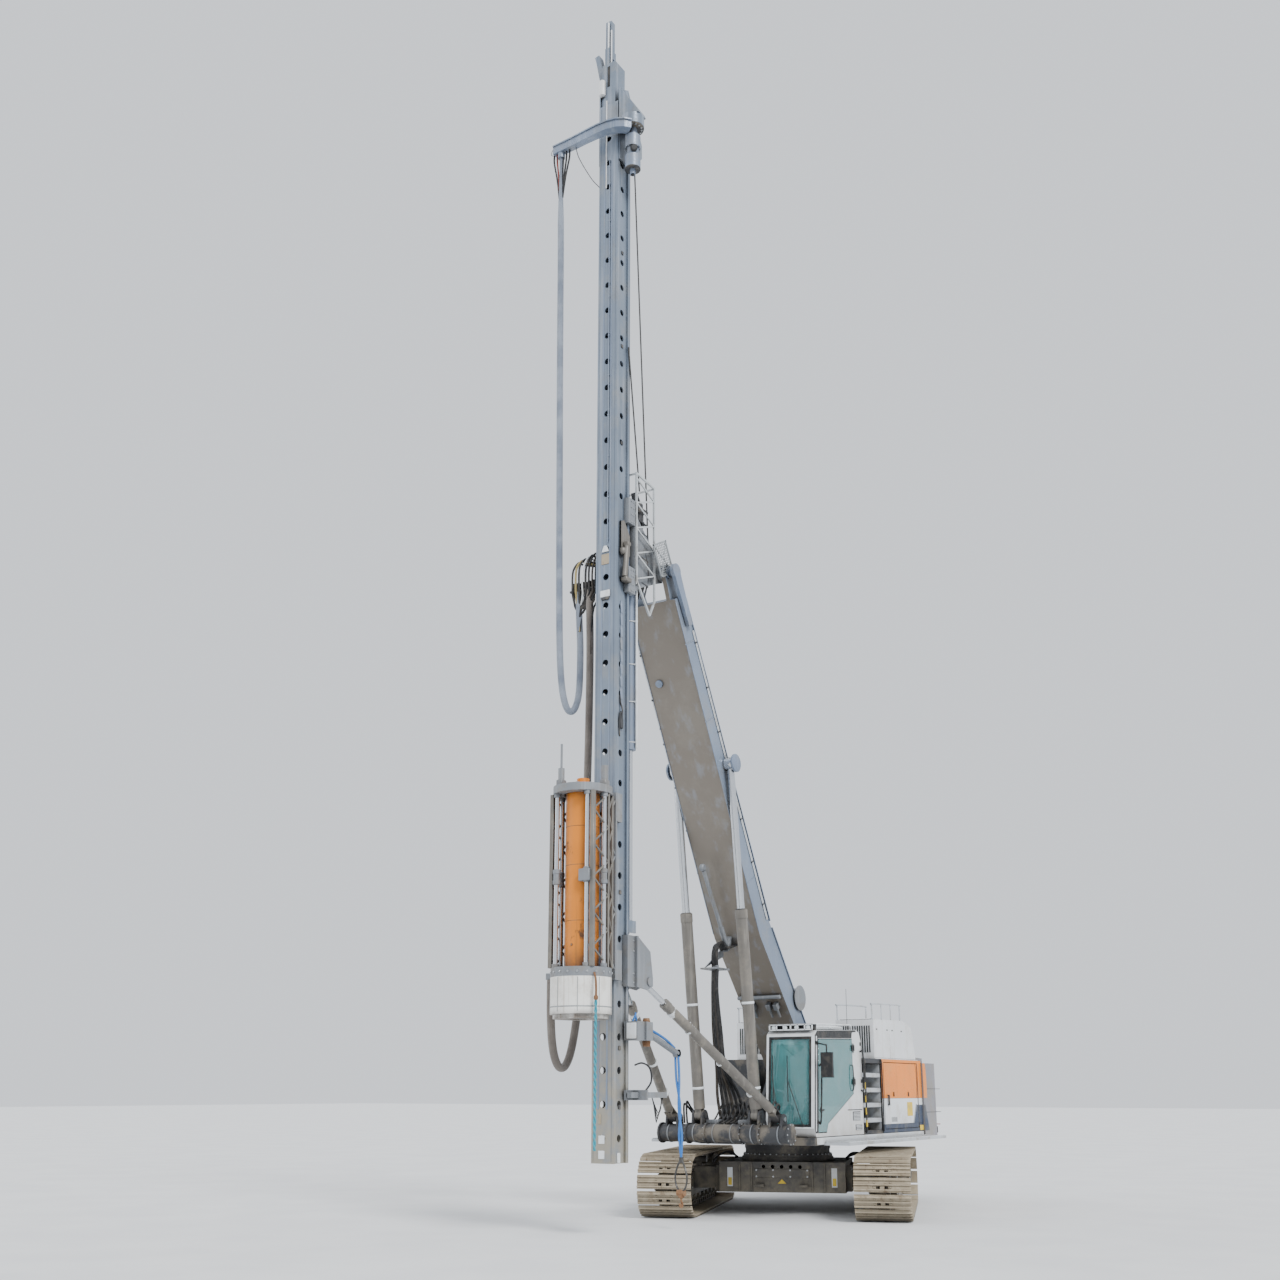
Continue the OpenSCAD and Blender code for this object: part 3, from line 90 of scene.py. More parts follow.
class Shader:
    """A material under construction; every pattern reads the object's own coordinates, in metres."""

    def __init__(self, name):
        self.mat = bpy.data.materials.new(name)
        self.mat.use_nodes = True
        self.tree = self.mat.node_tree
        self.tree.nodes.clear()
        out = self.tree.nodes.new("ShaderNodeOutputMaterial")
        self.bsdf = self.tree.nodes.new("ShaderNodeBsdfPrincipled")
        self.tree.links.new(self.bsdf.outputs[0], out.inputs[0])
        self.coords = self.tree.nodes.new("ShaderNodeTexCoord")

    def put(self, socket, value):
        if isinstance(value, bpy.types.NodeSocket):
            self.tree.links.new(value, socket)
        else:
            socket.default_value = value

    def node(self, kind, **inputs):
        n = self.tree.nodes.new(kind)
        for key, value in inputs.items():
            self.put(n.inputs[key], value)
        return n

    def stretched(self, scale):
        return self.node("ShaderNodeMapping", Vector=self.coords.outputs["Object"], Scale=scale).outputs[0]

    def noise(self, scale, detail=3.0, rough=0.55, stretch=None):
        v = self.stretched(stretch) if stretch else self.coords.outputs["Object"]
        n = self.node("ShaderNodeTexNoise", Vector=v, Scale=scale, Detail=detail, Roughness=rough)
        return n.outputs["Fac"]

    def spread(self, value, low, high, out_low=0.0, out_high=1.0):
        n = self.node("ShaderNodeMapRange", Value=value)
        n.interpolation_type = "SMOOTHSTEP"
        for key, v in (("From Min", low), ("From Max", high), ("To Min", out_low), ("To Max", out_high)):
            n.inputs[key].default_value = v
        return n.outputs[0]

    def set(self, name, value):
        self.put(self.bsdf.inputs[name], value)

    def times(self, a, b):
        n = self.tree.nodes.new("ShaderNodeMath")
        n.operation = "MULTIPLY"
        n.use_clamp = True
        self.put(n.inputs[0], a)
        self.put(n.inputs[1], b)
        return n.outputs[0]

    def mix(self, amount, a, b):
        n = self.tree.nodes.new("ShaderNodeMix")
        n.data_type = "RGBA"
        self.put(n.inputs[0], amount)
        self.put(n.inputs[6], a)
        self.put(n.inputs[7], b)
        return n.outputs[2]

    def lay(self, colour, mask, amount, tone):
        return self.mix(self.times(mask, amount), colour, srgb(tone))

    def height(self):
        return self.node("ShaderNodeSeparateXYZ", Vector=self.coords.outputs["Object"]).outputs[2]

    def bump(self, height, strength, distance):
        n = self.node("ShaderNodeBump", Height=height, Strength=strength, Distance=distance)
        self.set("Normal", n.outputs[0])

    # Ambient occlusion mask, used to paint shade into corners and creases
    def occlusion_shade(self, distance):
        n = self.node("ShaderNodeAmbientOcclusion", Distance=distance)
        n.samples = 4
        return n.outputs["AO"]


def paint(name, base, rough=0.45, metal=0.0, vary=0.12, streak=None, dust=None, stain=None, low=None,
          corner_shade="#2a2724", chips=None, grain=0.25, under=None):
    """Steel out of doors: cloudy tone, rain streaks, dust, stains, mud near the ground, painted shade in corners
    and creases, and painted shade with warm ground bounce on the underside.
    """
    s = Shader(name)
    b = srgb(base)
    dark = tuple(c * (1 - vary) for c in b[:3]) + (1,)
    light = tuple(min(1, c * (1 + vary)) for c in b[:3]) + (1,)
    cloud = s.noise(0.9, 4)
    fine = s.noise(38, 5, 0.6)
    colour = s.mix(s.spread(cloud, 0.3, 0.7), dark, light)
    # Painted shade with warm ground bounce: faces turned along the axis (down and forward on the boom) are tinted
    # towards the given tone
    if under:
        tone, axis, a, c = under
        n = s.node("ShaderNodeVectorMath")
        n.operation = "DOT_PRODUCT"
        s.put(n.inputs[0], s.coords.outputs["Normal"])
        n.inputs[1].default_value = axis
        colour = s.mix(s.spread(n.outputs["Value"], a, c), colour, srgb(tone))
    rough_value = s.spread(fine, 0.2, 0.8, max(0.05, rough - 0.12), min(1, rough + 0.16))
    if streak:
        tone, amount, width = streak
        runs = s.noise(1.0, 6, 0.62, stretch=(width, width, 0.42))
        colour = s.lay(colour, s.spread(runs, 0.5, 0.68), amount, tone)
    if dust:
        tone, amount, size = dust
        patch = s.spread(s.noise(size, 7, 0.66), 0.47, 0.66)
        colour = s.lay(colour, patch, amount, tone)
    if stain:
        tone, amount, size, limit = stain
        patch = s.spread(s.noise(size, 6, 0.7, stretch=(1, 1, 0.5)), limit, limit + 0.09)
        colour = s.lay(colour, patch, amount, tone)
    if low:
        tone, z_none, z_full, amount = low
        height = s.spread(s.height(), z_full, z_none, 1.0, 0.0)
        patch = s.times(height, s.spread(s.noise(5, 6, 0.65), 0.25, 0.62, 0.25, 1.0))
        colour = s.lay(colour, patch, amount, tone)
    if chips:
        tone, limit = chips
        colour = s.mix(s.spread(s.noise(26, 4, 0.75), limit, limit + 0.03), colour, srgb(tone))
    # Painted shade: the occlusion mask darkens corners and creases towards the given tone
    if corner_shade:
        colour = s.mix(s.spread(s.occlusion_shade(0.16), 0.25, 0.85, 0.75, 0.0), colour, srgb(corner_shade))
    s.set("Base Color", colour)
    s.set("Roughness", rough_value)
    s.set("Metallic", metal)
    s.bump(fine, grain, 0.004)
    return s.mat


def bare_metal(name, base, rough=0.25, brushed=None):
    s = Shader(name)
    b = srgb(base)
    fine = s.noise(30, 5, stretch=brushed or (1, 1, 1))
    colour = s.mix(s.spread(fine, 0.35, 0.7), tuple(c * 0.82 for c in b[:3]) + (1,), b)
    s.set("Base Color", colour)
    s.set("Roughness", s.spread(s.noise(9, 5), 0.3, 0.7, rough * 0.7, rough * 1.5))
    s.set("Metallic", 0.9)
    s.bump(fine, 0.08, 0.002)
    return s.mat


def rubber(name, base, rough=0.6, ribs=None, dusty="#6b655c", amount=0.35):
    s = Shader(name)
    patch = s.spread(s.noise(6, 6, 0.65), 0.45, 0.7)
    colour = s.lay(srgb(base), patch, amount, dusty)
    s.set("Base Color", colour)
    s.set("Roughness", s.spread(s.noise(20, 3), 0.3, 0.7, rough - 0.1, rough + 0.15))
    s.bump(s.noise(ribs or 120, 3), 0.3, 0.003)
    return s.mat


def glass(name, tint):
    s = Shader(name)
    smear = s.spread(s.noise(3.5, 5, 0.6), 0.4, 0.75)
    s.set("Base Color", s.lay(srgb(tint), smear, 0.25, "#c8d6d6"))
    s.set("Roughness", s.spread(smear, 0.0, 1.0, 0.02, 0.12))
    s.set("Transmission Weight", 0.72)
    s.set("IOR", 1.45)
    s.set("Coat Weight", 0.6)
    return s.mat


def sleeve(name, base, light):
    """Woven protective sleeve round a hose bundle."""
    s = Shader(name)
    weave = s.node("ShaderNodeTexWave", Vector=s.coords.outputs["Object"], Scale=34.0, Distortion=3.0, Detail=3.0)
    weave.bands_direction = "Z"
    tone = s.mix(s.spread(s.noise(2.2, 5), 0.35, 0.68), srgb(base), srgb(light))
    tone = s.mix(s.spread(weave.outputs["Fac"], 0.0, 0.35, 0.35, 0.0), tone, srgb("#3c4048"))
    s.set("Base Color", tone)
    s.set("Roughness", 0.85)
    s.set("Sheen Weight", 0.3)
    s.bump(weave.outputs["Fac"], 0.5, 0.008)
    return s.mat


def fabric(name, base):
    s = Shader(name)
    weave = s.node("ShaderNodeTexWave", Vector=s.coords.outputs["Object"], Scale=160.0, Distortion=1.0)
    s.set("Base Color", s.mix(s.noise(8, 4), srgb(base), srgb("#4a4c50")))
    s.set("Roughness", 0.9)
    s.set("Sheen Weight", 0.4)
    s.bump(weave.outputs["Fac"], 0.4, 0.002)
    return s.mat


SLOT_OF = {
    "steel_blue": "leader boom blue", "machine_grey": "grey lattice cylinder mesh bright rope rust ballast",
    "carriage_grey": "dark black navy", "white_paint": "white band cap lamp",
    "orange_paint": "orange ram yellow red",
    "shoe_mud": "shoe chain", "walk_steel": "walk", "rod_chrome": "chrome", "pane": "pane", "seat_fabric": "fabric",
    "hose_rubber": "rubber rubber_brown rubber_red rubber_tan sling teal sleeve sleeve_brown",
}
STEEL = "#74808f"
# Direction of the boom's underside, which gets painted shade with warm ground bounce
UNDERSIDE_SHADE_AXIS = (0, -0.78, -0.62)
M = {
    "leader": paint("leader_paint", STEEL, 0.42, 0.25, 0.10, streak=("#a3acb8", 0.55, 9.0),
                    dust=("#9a978f", 0.35, 1.6), stain=("#6b6a68", 0.35, 2.4, 0.6),
                    low=("#9d9583", 4.2, 1.4, 0.85), chips=("#4f535a", 0.71)),
    "boom": paint("boom_paint", "#7a8799", 0.42, 0.2, 0.10, streak=("#959fab", 0.35, 6.0),
                  dust=("#8f8a80", 0.35, 1.8), chips=("#55585c", 0.72), under=("#7f776d", UNDERSIDE_SHADE_AXIS, 0.55, 0.9)),
    "blue": paint("steel_blue_paint", "#79869a", 0.42, 0.2, 0.10, streak=("#a5afba", 0.4, 12.0),
                  dust=("#8b877e", 0.4, 2.5), chips=("#4f535a", 0.7)),
    "grey": paint("grey_paint", "#7d8186", 0.48, 0.15, 0.12, streak=("#a6a9ab", 0.35, 14.0),
                  dust=("#7d766b", 0.5, 3.0), chips=("#5a4a3c", 0.68)),
    "lattice": paint("lattice_paint", "#b9bdbf", 0.5, 0.1, 0.10, dust=("#8a8378", 0.55, 4.0),
                     stain=("#5e564d", 0.6, 6.0, 0.58), chips=("#6d5238", 0.68)),
    "dark": paint("dark_paint", "#3c3d40", 0.55, 0.1, 0.14, dust=("#82796b", 0.65, 3.0),
                  low=("#8d8471", 1.2, 0.3, 0.6), chips=("#6d5d4d", 0.7)),
    "cylinder": paint("cylinder_paint", "#6c6862", 0.42, 0.2, 0.12, streak=("#98948c", 0.4, 12.0),
                      dust=("#8d8578", 0.5, 3.0)),
    "white": paint("white_paint", "#dcdee0", 0.36, 0.0, 0.05, streak=("#c4c2ba", 0.35, 10.0),
                   dust=("#b8b2a5", 0.35, 2.2), low=("#a9a08f", 1.7, 1.1, 0.5), corner_shade="#4b4842"),
    "cap": paint("drive_cap_paint", "#efeee8", 0.5, 0.0, 0.06, streak=("#8d7558", 0.7, 10.0),
                 dust=("#b0a594", 0.35, 3.5), stain=("#5b4a3a", 0.7, 5.0, 0.64),
                 low=("#4a3b2e", 3.06, 2.9, 0.9), corner_shade="#3a332b"),
    "orange": paint("orange_paint", "#ee8408", 0.34, 0.0, 0.06, streak=("#d07a1c", 0.3, 10.0),
                    dust=("#c09460", 0.2, 2.4)),
    "ram": paint("ram_paint", "#d97f14", 0.42, 0.05, 0.10, streak=("#8f5e22", 0.5, 12.0),
                 stain=("#3a2c20", 0.85, 3.6, 0.6), low=("#3b332b", 3.95, 3.5, 0.9), chips=("#5a4028", 0.7)),
    "shoe": paint("shoe_steel", "#a2957f", 0.72, 0.1, 0.16, dust=("#bdb19b", 0.7, 6.0),
                  stain=("#6d5640", 0.7, 8.0, 0.56), low=("#b3a791", 0.6, 0.05, 0.6), grain=0.5),
    "chain": paint("chain_steel", "#6b6152", 0.7, 0.2, 0.16, dust=("#94887a", 0.8, 8.0), grain=0.5),
    "walk": paint("catwalk_paint", "#c3c7cb", 0.45, 0.35, 0.08, dust=("#9a9486", 0.6, 4.0),
                  chips=("#77736b", 0.68)),
    "ballast": paint("counterweight_paint", "#86858a", 0.6, 0.0, 0.10, streak=("#a09f9e", 0.4, 7.0),
                     dust=("#8e8878", 0.5, 2.0), stain=("#76726a", 0.5, 3.0, 0.6), grain=0.5),
    "navy": paint("navy_paint", "#27364f", 0.4, 0.0, 0.08, dust=("#75705f", 0.4, 3.0)),
    "band": paint("band_paint", "#dfe3e6", 0.36, 0.0, 0.05, dust=("#b0a999", 0.4, 3.0)),
    "yellow": paint("yellow_paint", "#e3c02a", 0.4, 0.0, 0.08, dust=("#8d8260", 0.4, 5.0)),
    "red": paint("red_paint", "#a2372c", 0.5, 0.0, 0.1, dust=("#7c6a5c", 0.5, 6.0)),
    "rust": paint("rusty_steel", "#7d5a3e", 0.8, 0.2, 0.2, dust=("#9c8468", 0.6, 9.0), grain=0.6),
    "black": paint("black_plastic", "#1b1c1e", 0.5, 0.0, 0.1, dust=("#5d574d", 0.4, 5.0), corner_shade=None),
    "lamp": paint("lamp_glass", "#dfe8ea", 0.12, 0.0, 0.04, corner_shade=None, grain=0.05),
    "mesh": paint("mesh_steel", "#9da1a3", 0.5, 0.4, 0.1, dust=("#6f6a61", 0.5, 6.0)),
    "chrome": bare_metal("rod_chrome", "#d3d6da", 0.16, (3, 3, 30)),
    "rope": bare_metal("rope_steel", "#5d5c5a", 0.5),
    "bright": bare_metal("bright_steel", "#b9bcbe", 0.3),
    "rubber": rubber("hose_rubber", "#1c1c1e"),
    "rubber_brown": rubber("hose_rubber_brown", "#3a332c"),
    "rubber_red": rubber("hose_rubber_red", "#7c2f26"),
    "rubber_tan": rubber("hose_rubber_tan", "#9b8a55"),
    "sling": rubber("sling_blue", "#2f6fb8", dusty="#6c7f8f"),
    "teal": rubber("rope_teal", "#2f8fa0", dusty="#5e8088"),
    "pane": glass("tinted_pane", "#7fc4c6"),
    "sleeve": sleeve("sleeve_blue", "#737d8e", "#98a1ae"),
    "sleeve_brown": sleeve("sleeve_brown", "#6f665e", "#8b8279"),
    "fabric": fabric("seat_fabric", "#26282c"),
}

NODE_LOOKS = {
    "carbody": "dark", "slew_ring": "dark", "track_frames": "dark", "deck": "dark", "counterweight": "ballast",
    "engine_block": "dark", "housings": "dark", "hoods": "white", "service_door_left": "dark",
    "service_door_right": "dark", "walkways": "walk", "winch": "grey", "cab_shell": "white", "cab_panes": "pane",
    "cab_door": "black", "door_pane": "pane", "operator_seat": "fabric", "cab_fittings": "black",
    "boom": "boom", "boom_barrels": "cylinder", "boom_rods": "chrome", "head_pin": "blue", "sledge": "grey",
    "guide_cage": "lattice", "lower_guide": "grey", "lift_barrel": "blue", "lift_rod": "chrome",
    "leader": "leader", "leader_head": "leader", "head_sheaves": "blue", "hose_arm": "blue", "hose_bracket": "dark",
    "hammer_frame": "grey", "drive_cap": "cap", "ram": "ram", "stay_pins": "bright", "stay_forks": "dark",
    "stay_barrel_left": "cylinder", "stay_barrel_right": "cylinder", "stay_rod_left": "chrome",
    "stay_rod_right": "chrome", "track_left": "shoe", "track_right": "shoe", "hose_loop": "sleeve",
    "hammer_hose": "sleeve_brown",
}
for name, look in NODE_LOOKS.items():
    data = nodes[name].data
    data.materials.clear()
    data.materials.append(M[look])


# Geometry
SIDES = (-1, 1)
SMOOTH_TO = 38


def smooth_path(points, steps):
    """A curve through the points, with steps pieces between two of them."""
    pts = [Vector(p) for p in points]
    out = []
    for i in range(len(pts) - 1):
        p0, p1, p2, p3 = pts[max(i - 1, 0)], pts[i], pts[i + 1], pts[min(i + 2, len(pts) - 1)]
        for k in range(steps):
            t = k / steps
            out.append(0.5 * (2 * p1 + (p2 - p0) * t + (2 * p0 - 5 * p1 + 4 * p2 - p3) * t * t
                              + (3 * p1 - p0 - 3 * p2 + p3) * t ** 3))
    return out + [pts[-1]]


def span(side, low, high, centre=0):
    """From low to high on one side of a centre line, in rising order."""
    return sorted((centre + side * low, centre + side * high))


def on_side(side, place=P):
    """The same place with b counted outwards on one side."""
    return lambda f, b, z: place(f, side * b, z)


def about(centre, reach):
    return centre - reach, centre + reach


def turns(count, first=0):
    return [2 * pi * (k + first) / count for k in range(count)]


def across_of(direction):
    side = direction.cross(Vector((0, 0, 1)))
    if side.length < 1e-4:
        side = direction.cross(Vector((1, 0, 0)))
    return side.normalized()


class Piece:
    """Gathers geometry for one object, given in millimetres, and makes it when done or at the end."""

    waiting = []

    def __init__(self, name, body, look, slot=None, place=P):
        self.name, self.body, self.look, self.place = name, body, look, place
        self.slot = slot or next(s for s, looks in SLOT_OF.items() if look in looks.split())
        self.bm = bmesh.new()
        Piece.waiting.append(self)

    def at(self, p):
        return self.place(*p)

    def solid(self, points, faces, bevel=0.0):
        verts = [self.bm.verts.new(p) for p in points]
        made = [self.bm.faces.new([verts[i] for i in f]) for f in faces]
        if bevel:
            edges = {e for f in made for e in f.edges}
            bmesh.ops.bevel(self.bm, geom=list(edges), offset=bevel / 1000, segments=1, affect="EDGES",
                            clamp_overlap=True)
        return made

    def hexa(self, corners, bevel=4.0):
        """Eight corners: the lower four in turn, then the upper four above them."""
        self.solid([self.at(c) for c in corners],
                   [(3, 2, 1, 0), (4, 5, 6, 7), (0, 1, 5, 4), (1, 2, 6, 5), (2, 3, 7, 6), (3, 0, 4, 7)], bevel)

    def wedge(self, low, high, b, bevel=4.0):
        """A block seen from the side as two lines, low and high, of two points each; b is its width."""
        self.hexa([(line[i][0], b[j], line[i][1]) for line in (low, high)
                   for i, j in ((0, 0), (1, 0), (1, 1), (0, 1))], bevel)

    def box(self, f, b, z, bevel=4.0):
        self.hexa([(f[i], b[j], z[k]) for k in (0, 1) for i, j in ((0, 0), (1, 0), (1, 1), (0, 1))], bevel)

    def prism(self, outline, kind, low, high, bevel=3.0):
        """An outline in the side, plan or cross view, as thick as from low to high."""
        order = {"side": lambda p, t: (p[0], t, p[1]), "plan": lambda p, t: (p[0], p[1], t),
                 "cross": lambda p, t: (t, p[0], p[1])}[kind]
        n = len(outline)
        pts = [self.at(order(p, low)) for p in outline] + [self.at(order(p, high)) for p in outline]
        faces = [tuple(range(n - 1, -1, -1)), tuple(range(n, 2 * n))]
        faces += [(i, (i + 1) % n, n + (i + 1) % n, n + i) for i in range(n)]
        self.solid(pts, faces, bevel)

    def turned(self, p, q, profile, sides=20):
        """A turned body on the line from p to q: the profile gives [millimetres along it, radius]."""
        a, b = self.at(p), self.at(q)
        d = (b - a).normalized()
        u = across_of(d)
        v = d.cross(u)
        rings = []
        for along, r in profile:
            c = a + d * (along / 1000)
            rings.append([self.bm.verts.new(c + (u * cos(t) + v * sin(t)) * (r / 1000))
                          for t in turns(sides)])
        for one, two in zip(rings, rings[1:]):
            for k in range(sides):
                self.bm.faces.new((one[k], one[(k + 1) % sides], two[(k + 1) % sides], two[k]))
        self.bm.faces.new(rings[0][::-1])
        self.bm.faces.new(rings[-1])

    def disc(self, p, q, r, sides=20):
        """A plain cylinder with sharp rims."""
        self.turned(p, q, [(0, r), ((self.at(q) - self.at(p)).length * 1000, r)], sides)

    def rod(self, p, q, r, sides=14, edge=3.0):
        length = (self.at(q) - self.at(p)).length * 1000
        edge = min(edge, r * 0.4, length * 0.3)
        self.turned(p, q, [(0, r - edge), (edge, r), (length - edge, r), (length, r - edge)], sides)

    def tube(self, points, r, sides=8, steps=5, radii=None):
        """A hose or pipe through the points; radii may give one radius at each of them."""
        path = smooth_path([self.at(p) for p in points], steps)
        if radii:
            ends = radii + radii[-1:]
            size = [ends[i // steps] * (1 - (i % steps) / steps) + ends[i // steps + 1] * (i % steps) / steps
                    for i in range(len(path))]
        else:
            size = [r] * len(path)
        rings, u = [], None
        for i, p in enumerate(path):
            d = (path[min(i + 1, len(path) - 1)] - path[max(i - 1, 0)]).normalized()
            u = across_of(d) if u is None else (u - d * u.dot(d)).normalized()
            v = d.cross(u)
            rings.append([self.bm.verts.new(p + (u * cos(t) + v * sin(t)) * (size[i] / 1000))
                          for t in turns(sides)])
        for one, two in zip(rings, rings[1:]):
            for k in range(sides):
                self.bm.faces.new((one[k], one[(k + 1) % sides], two[(k + 1) % sides], two[k]))
        self.bm.faces.new(rings[0][::-1])
        self.bm.faces.new(rings[-1])
        return path

    def sides(self):
        """Builds on the right and then on the left, with b counted outwards."""
        place = self.place
        for side in SIDES:
            self.place = on_side(side, place)
            yield side
        self.place = place

    def bolt(self, p, way, r=16, h=12):
        """A hexagon head on a washer, standing from p along way."""
        q = tuple(p[i] + way[i] * (h + 4) for i in range(3))
        self.turned(p, q, [(0, r * 1.35), (4, r * 1.35)], 12)
        self.turned(p, q, [(3, r), (h, r), (h + 3, r * 0.8)], 6)

    def bolts(self, centre, way, radius, count, r=14, h=12, start=0.0):
        """Bolts on a circle round centre, square to one of the three axes."""
        free = [i for i in range(3) if abs(way[i]) < 0.5]
        for k in range(count):
            t = start + 2 * pi * k / count
            p = list(centre)
            p[free[0]] += radius * cos(t)
            p[free[1]] += radius * sin(t)
            self.bolt(tuple(p), way, r, h)

    def done(self):
        """Makes this piece, and before it those that were begun earlier."""
        while Piece.waiting[0] is not self:
            Piece.waiting[0].done()
        Piece.waiting.pop(0)
        mesh = bpy.data.meshes.new(self.name)
        bmesh.ops.recalc_face_normals(self.bm, faces=self.bm.faces)
        self.bm.to_mesh(mesh)
        self.bm.free()
        for p in mesh.polygons:
            p.use_smooth = True
        mesh.set_sharp_from_angle(angle=radians(SMOOTH_TO))
        obj = bpy.data.objects.new(self.name, mesh)
        show(obj)
        mesh.materials.append(M[self.look])
        if self.body:
            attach(obj, self.body)
        return obj


def lerp(a, b, t):
    return tuple(x + (y - x) * t for x, y in zip(a, b))


# Cords: two hose bundles in woven sleeves
LOOP_R = 52
LOOP = [
    (5940, -840, 17189.7), (5940, -840, 16900), (5940, -840, 16600), (5935, -835, 16000),
    (5925, -830, 15200), (5915, -828, 14200),
    (5900, -825, 13000), (5880, -822, 11800), (5860, -820, 10600), (5840, -818, 9600), (5820, -815, 8800),
    (5790, -810, 8250), (5740, -800, 7870), (5670, -780, 7640), (5590, -755, 7570), (5510, -725, 7640),
    (5465, -690, 7850), (5470, -665, 8200), (5500, -645, 8650), (5555, -630, 9050), (5582, -621, 9300),
    (5585, -620, 9400), (5585, -620, 9479.7),
]
FEED_R = 58
FEED = [
    (5585, -420, 9479.7), (5585, -420, 9390), (5575, -422, 9150), (5530, -440, 8500), (5510, -460, 7500),
    (5510, -480, 6400), (5520, -500, 5200), (5530, -520, 4200), (5560, -545, 3400), (5620, -570, 2850),
    (5720, -580, 2480), (5850, -580, 2290), (6000, -575, 2270), (6130, -565, 2400), (6210, -560, 2640),
    (6250, -555, 2950), (6267, -549, 3200), (6270, -548, 3340), (6270, -548, 3459.7),
]


def path_length(path):
    return sum((b - a).length for a, b in zip(path, path[1:]))


loop = Piece("loop_sleeve", None, "sleeve")
loop_path = loop.tube(LOOP, LOOP_R, 16, 5, [26, 28, 32] + [LOOP_R] * (len(LOOP) - 3))
loop = loop.done()
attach(loop, "leader")
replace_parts(loop, "hose_loop")
tuple(loop_path[0])
path_length(loop_path)
[tuple(p) for p in loop_path]

feed = Piece("hammer_sleeve", None, "sleeve_brown")
feed_path = feed.tube(FEED, FEED_R, 16, 5)
feed = feed.done()
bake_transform(feed)
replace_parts(feed, "hammer_hose")
tuple(feed_path[0])
path_length(feed_path)
[tuple(p) for p in feed_path]


# Tracks: shoes with three ribs, bolts and mud slots on a chain of links
GAUGE, TRACK_R, STRAIGHT, SHOES = 3380, 485, 3970, 48
PLATE_R, SHOE_IN_R = 459, 439
PIN_R = SHOE_IN_R - 52.5
WHEEL_F = STRAIGHT / 2


def on_track(s, r):
    turn = pi * r
    d = s % (2 * (STRAIGHT + turn))
    if d < STRAIGHT:
        return Vector((d - WHEEL_F, -r))
    if d < STRAIGHT + turn:
        t = (d - STRAIGHT) / r
        return Vector((WHEEL_F + r * sin(t), -r * cos(t)))
    if d < 2 * STRAIGHT + turn:
        return Vector((WHEEL_F - (d - STRAIGHT - turn), r))
    t = (d - 2 * STRAIGHT - turn) / r
    return Vector((-WHEEL_F - r * sin(t), r * cos(t)))


def track(side, word):
    """One loop of shoes round its chain, each built in its own frame: u along, w across and o outwards."""
    shoes = Piece("track_shoes_" + word, "undercarriage", "shoe", place=U)
    chain = Piece("track_chain_" + word, "undercarriage", "chain", place=U)
    pitch = 2 * (STRAIGHT + pi * PIN_R) / SHOES
    low, top, rib = SHOE_IN_R - PIN_R, PLATE_R - PIN_R, TRACK_R - PIN_R
    edge = pitch / 2 - 3

    def section(u0, u1):
        pts = [(u0, low), (u0, top)]
        for c in (-0.34 * pitch, 0, 0.34 * pitch):
            if u0 < c - 14 and c + 14 < u1:
                pts += [(c - 13, top), (c - 6, rib), (c + 6, rib), (c + 13, top)]
        return pts + [(u1, top), (u1, low)]

    for i in range(SHOES):
        a, b = on_track(i * pitch, PIN_R), on_track((i + 1) * pitch, PIN_R)
        mid, along = (a + b) / 2, (b - a).normalized()
        out = Vector((along[1], -along[0]))

        def local(u, w, o):
            p = mid + along * u + out * o
            return U(p[0], side * GAUGE / 2 + w, TRACK_R + p[1])

        for piece in (shoes, chain):
            piece.place = local
        for w0, w1, slotted in ((-430, -92, 0), (-92, -34, 1), (-34, 34, 0), (34, 92, 1), (92, 430, 0)):
            spans = ((-edge, -58), (-17, edge)) if slotted else ((-edge, edge),)
            for u0, u1 in spans:
                shoes.prism(section(u0, u1), "side", w0, w1, 0)
        for u in (-36, 36):
            for w in (-122, 122):
                shoes.bolt((u, w, top), (0, 0, 1), 13, 9)
        link = [(-100, -26), (-84, -42), (84, -42), (100, -26), (106, 0), (98, 34), (80, 52), (-80, 52),
                (-98, 34), (-106, 0)]
        for w in (-96, 62):
            chain.prism(link, "side", w, w + 34, 3)
        chain.rod((-pitch / 2, -112, 0), (-pitch / 2, 112, 0), 24, 12)
        chain.rod((-pitch / 2, -60, 0), (-pitch / 2, 60, 0), 34, 12)
    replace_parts(shoes.done(), "track_" + word)


track(1, "left")
track(-1, "right")


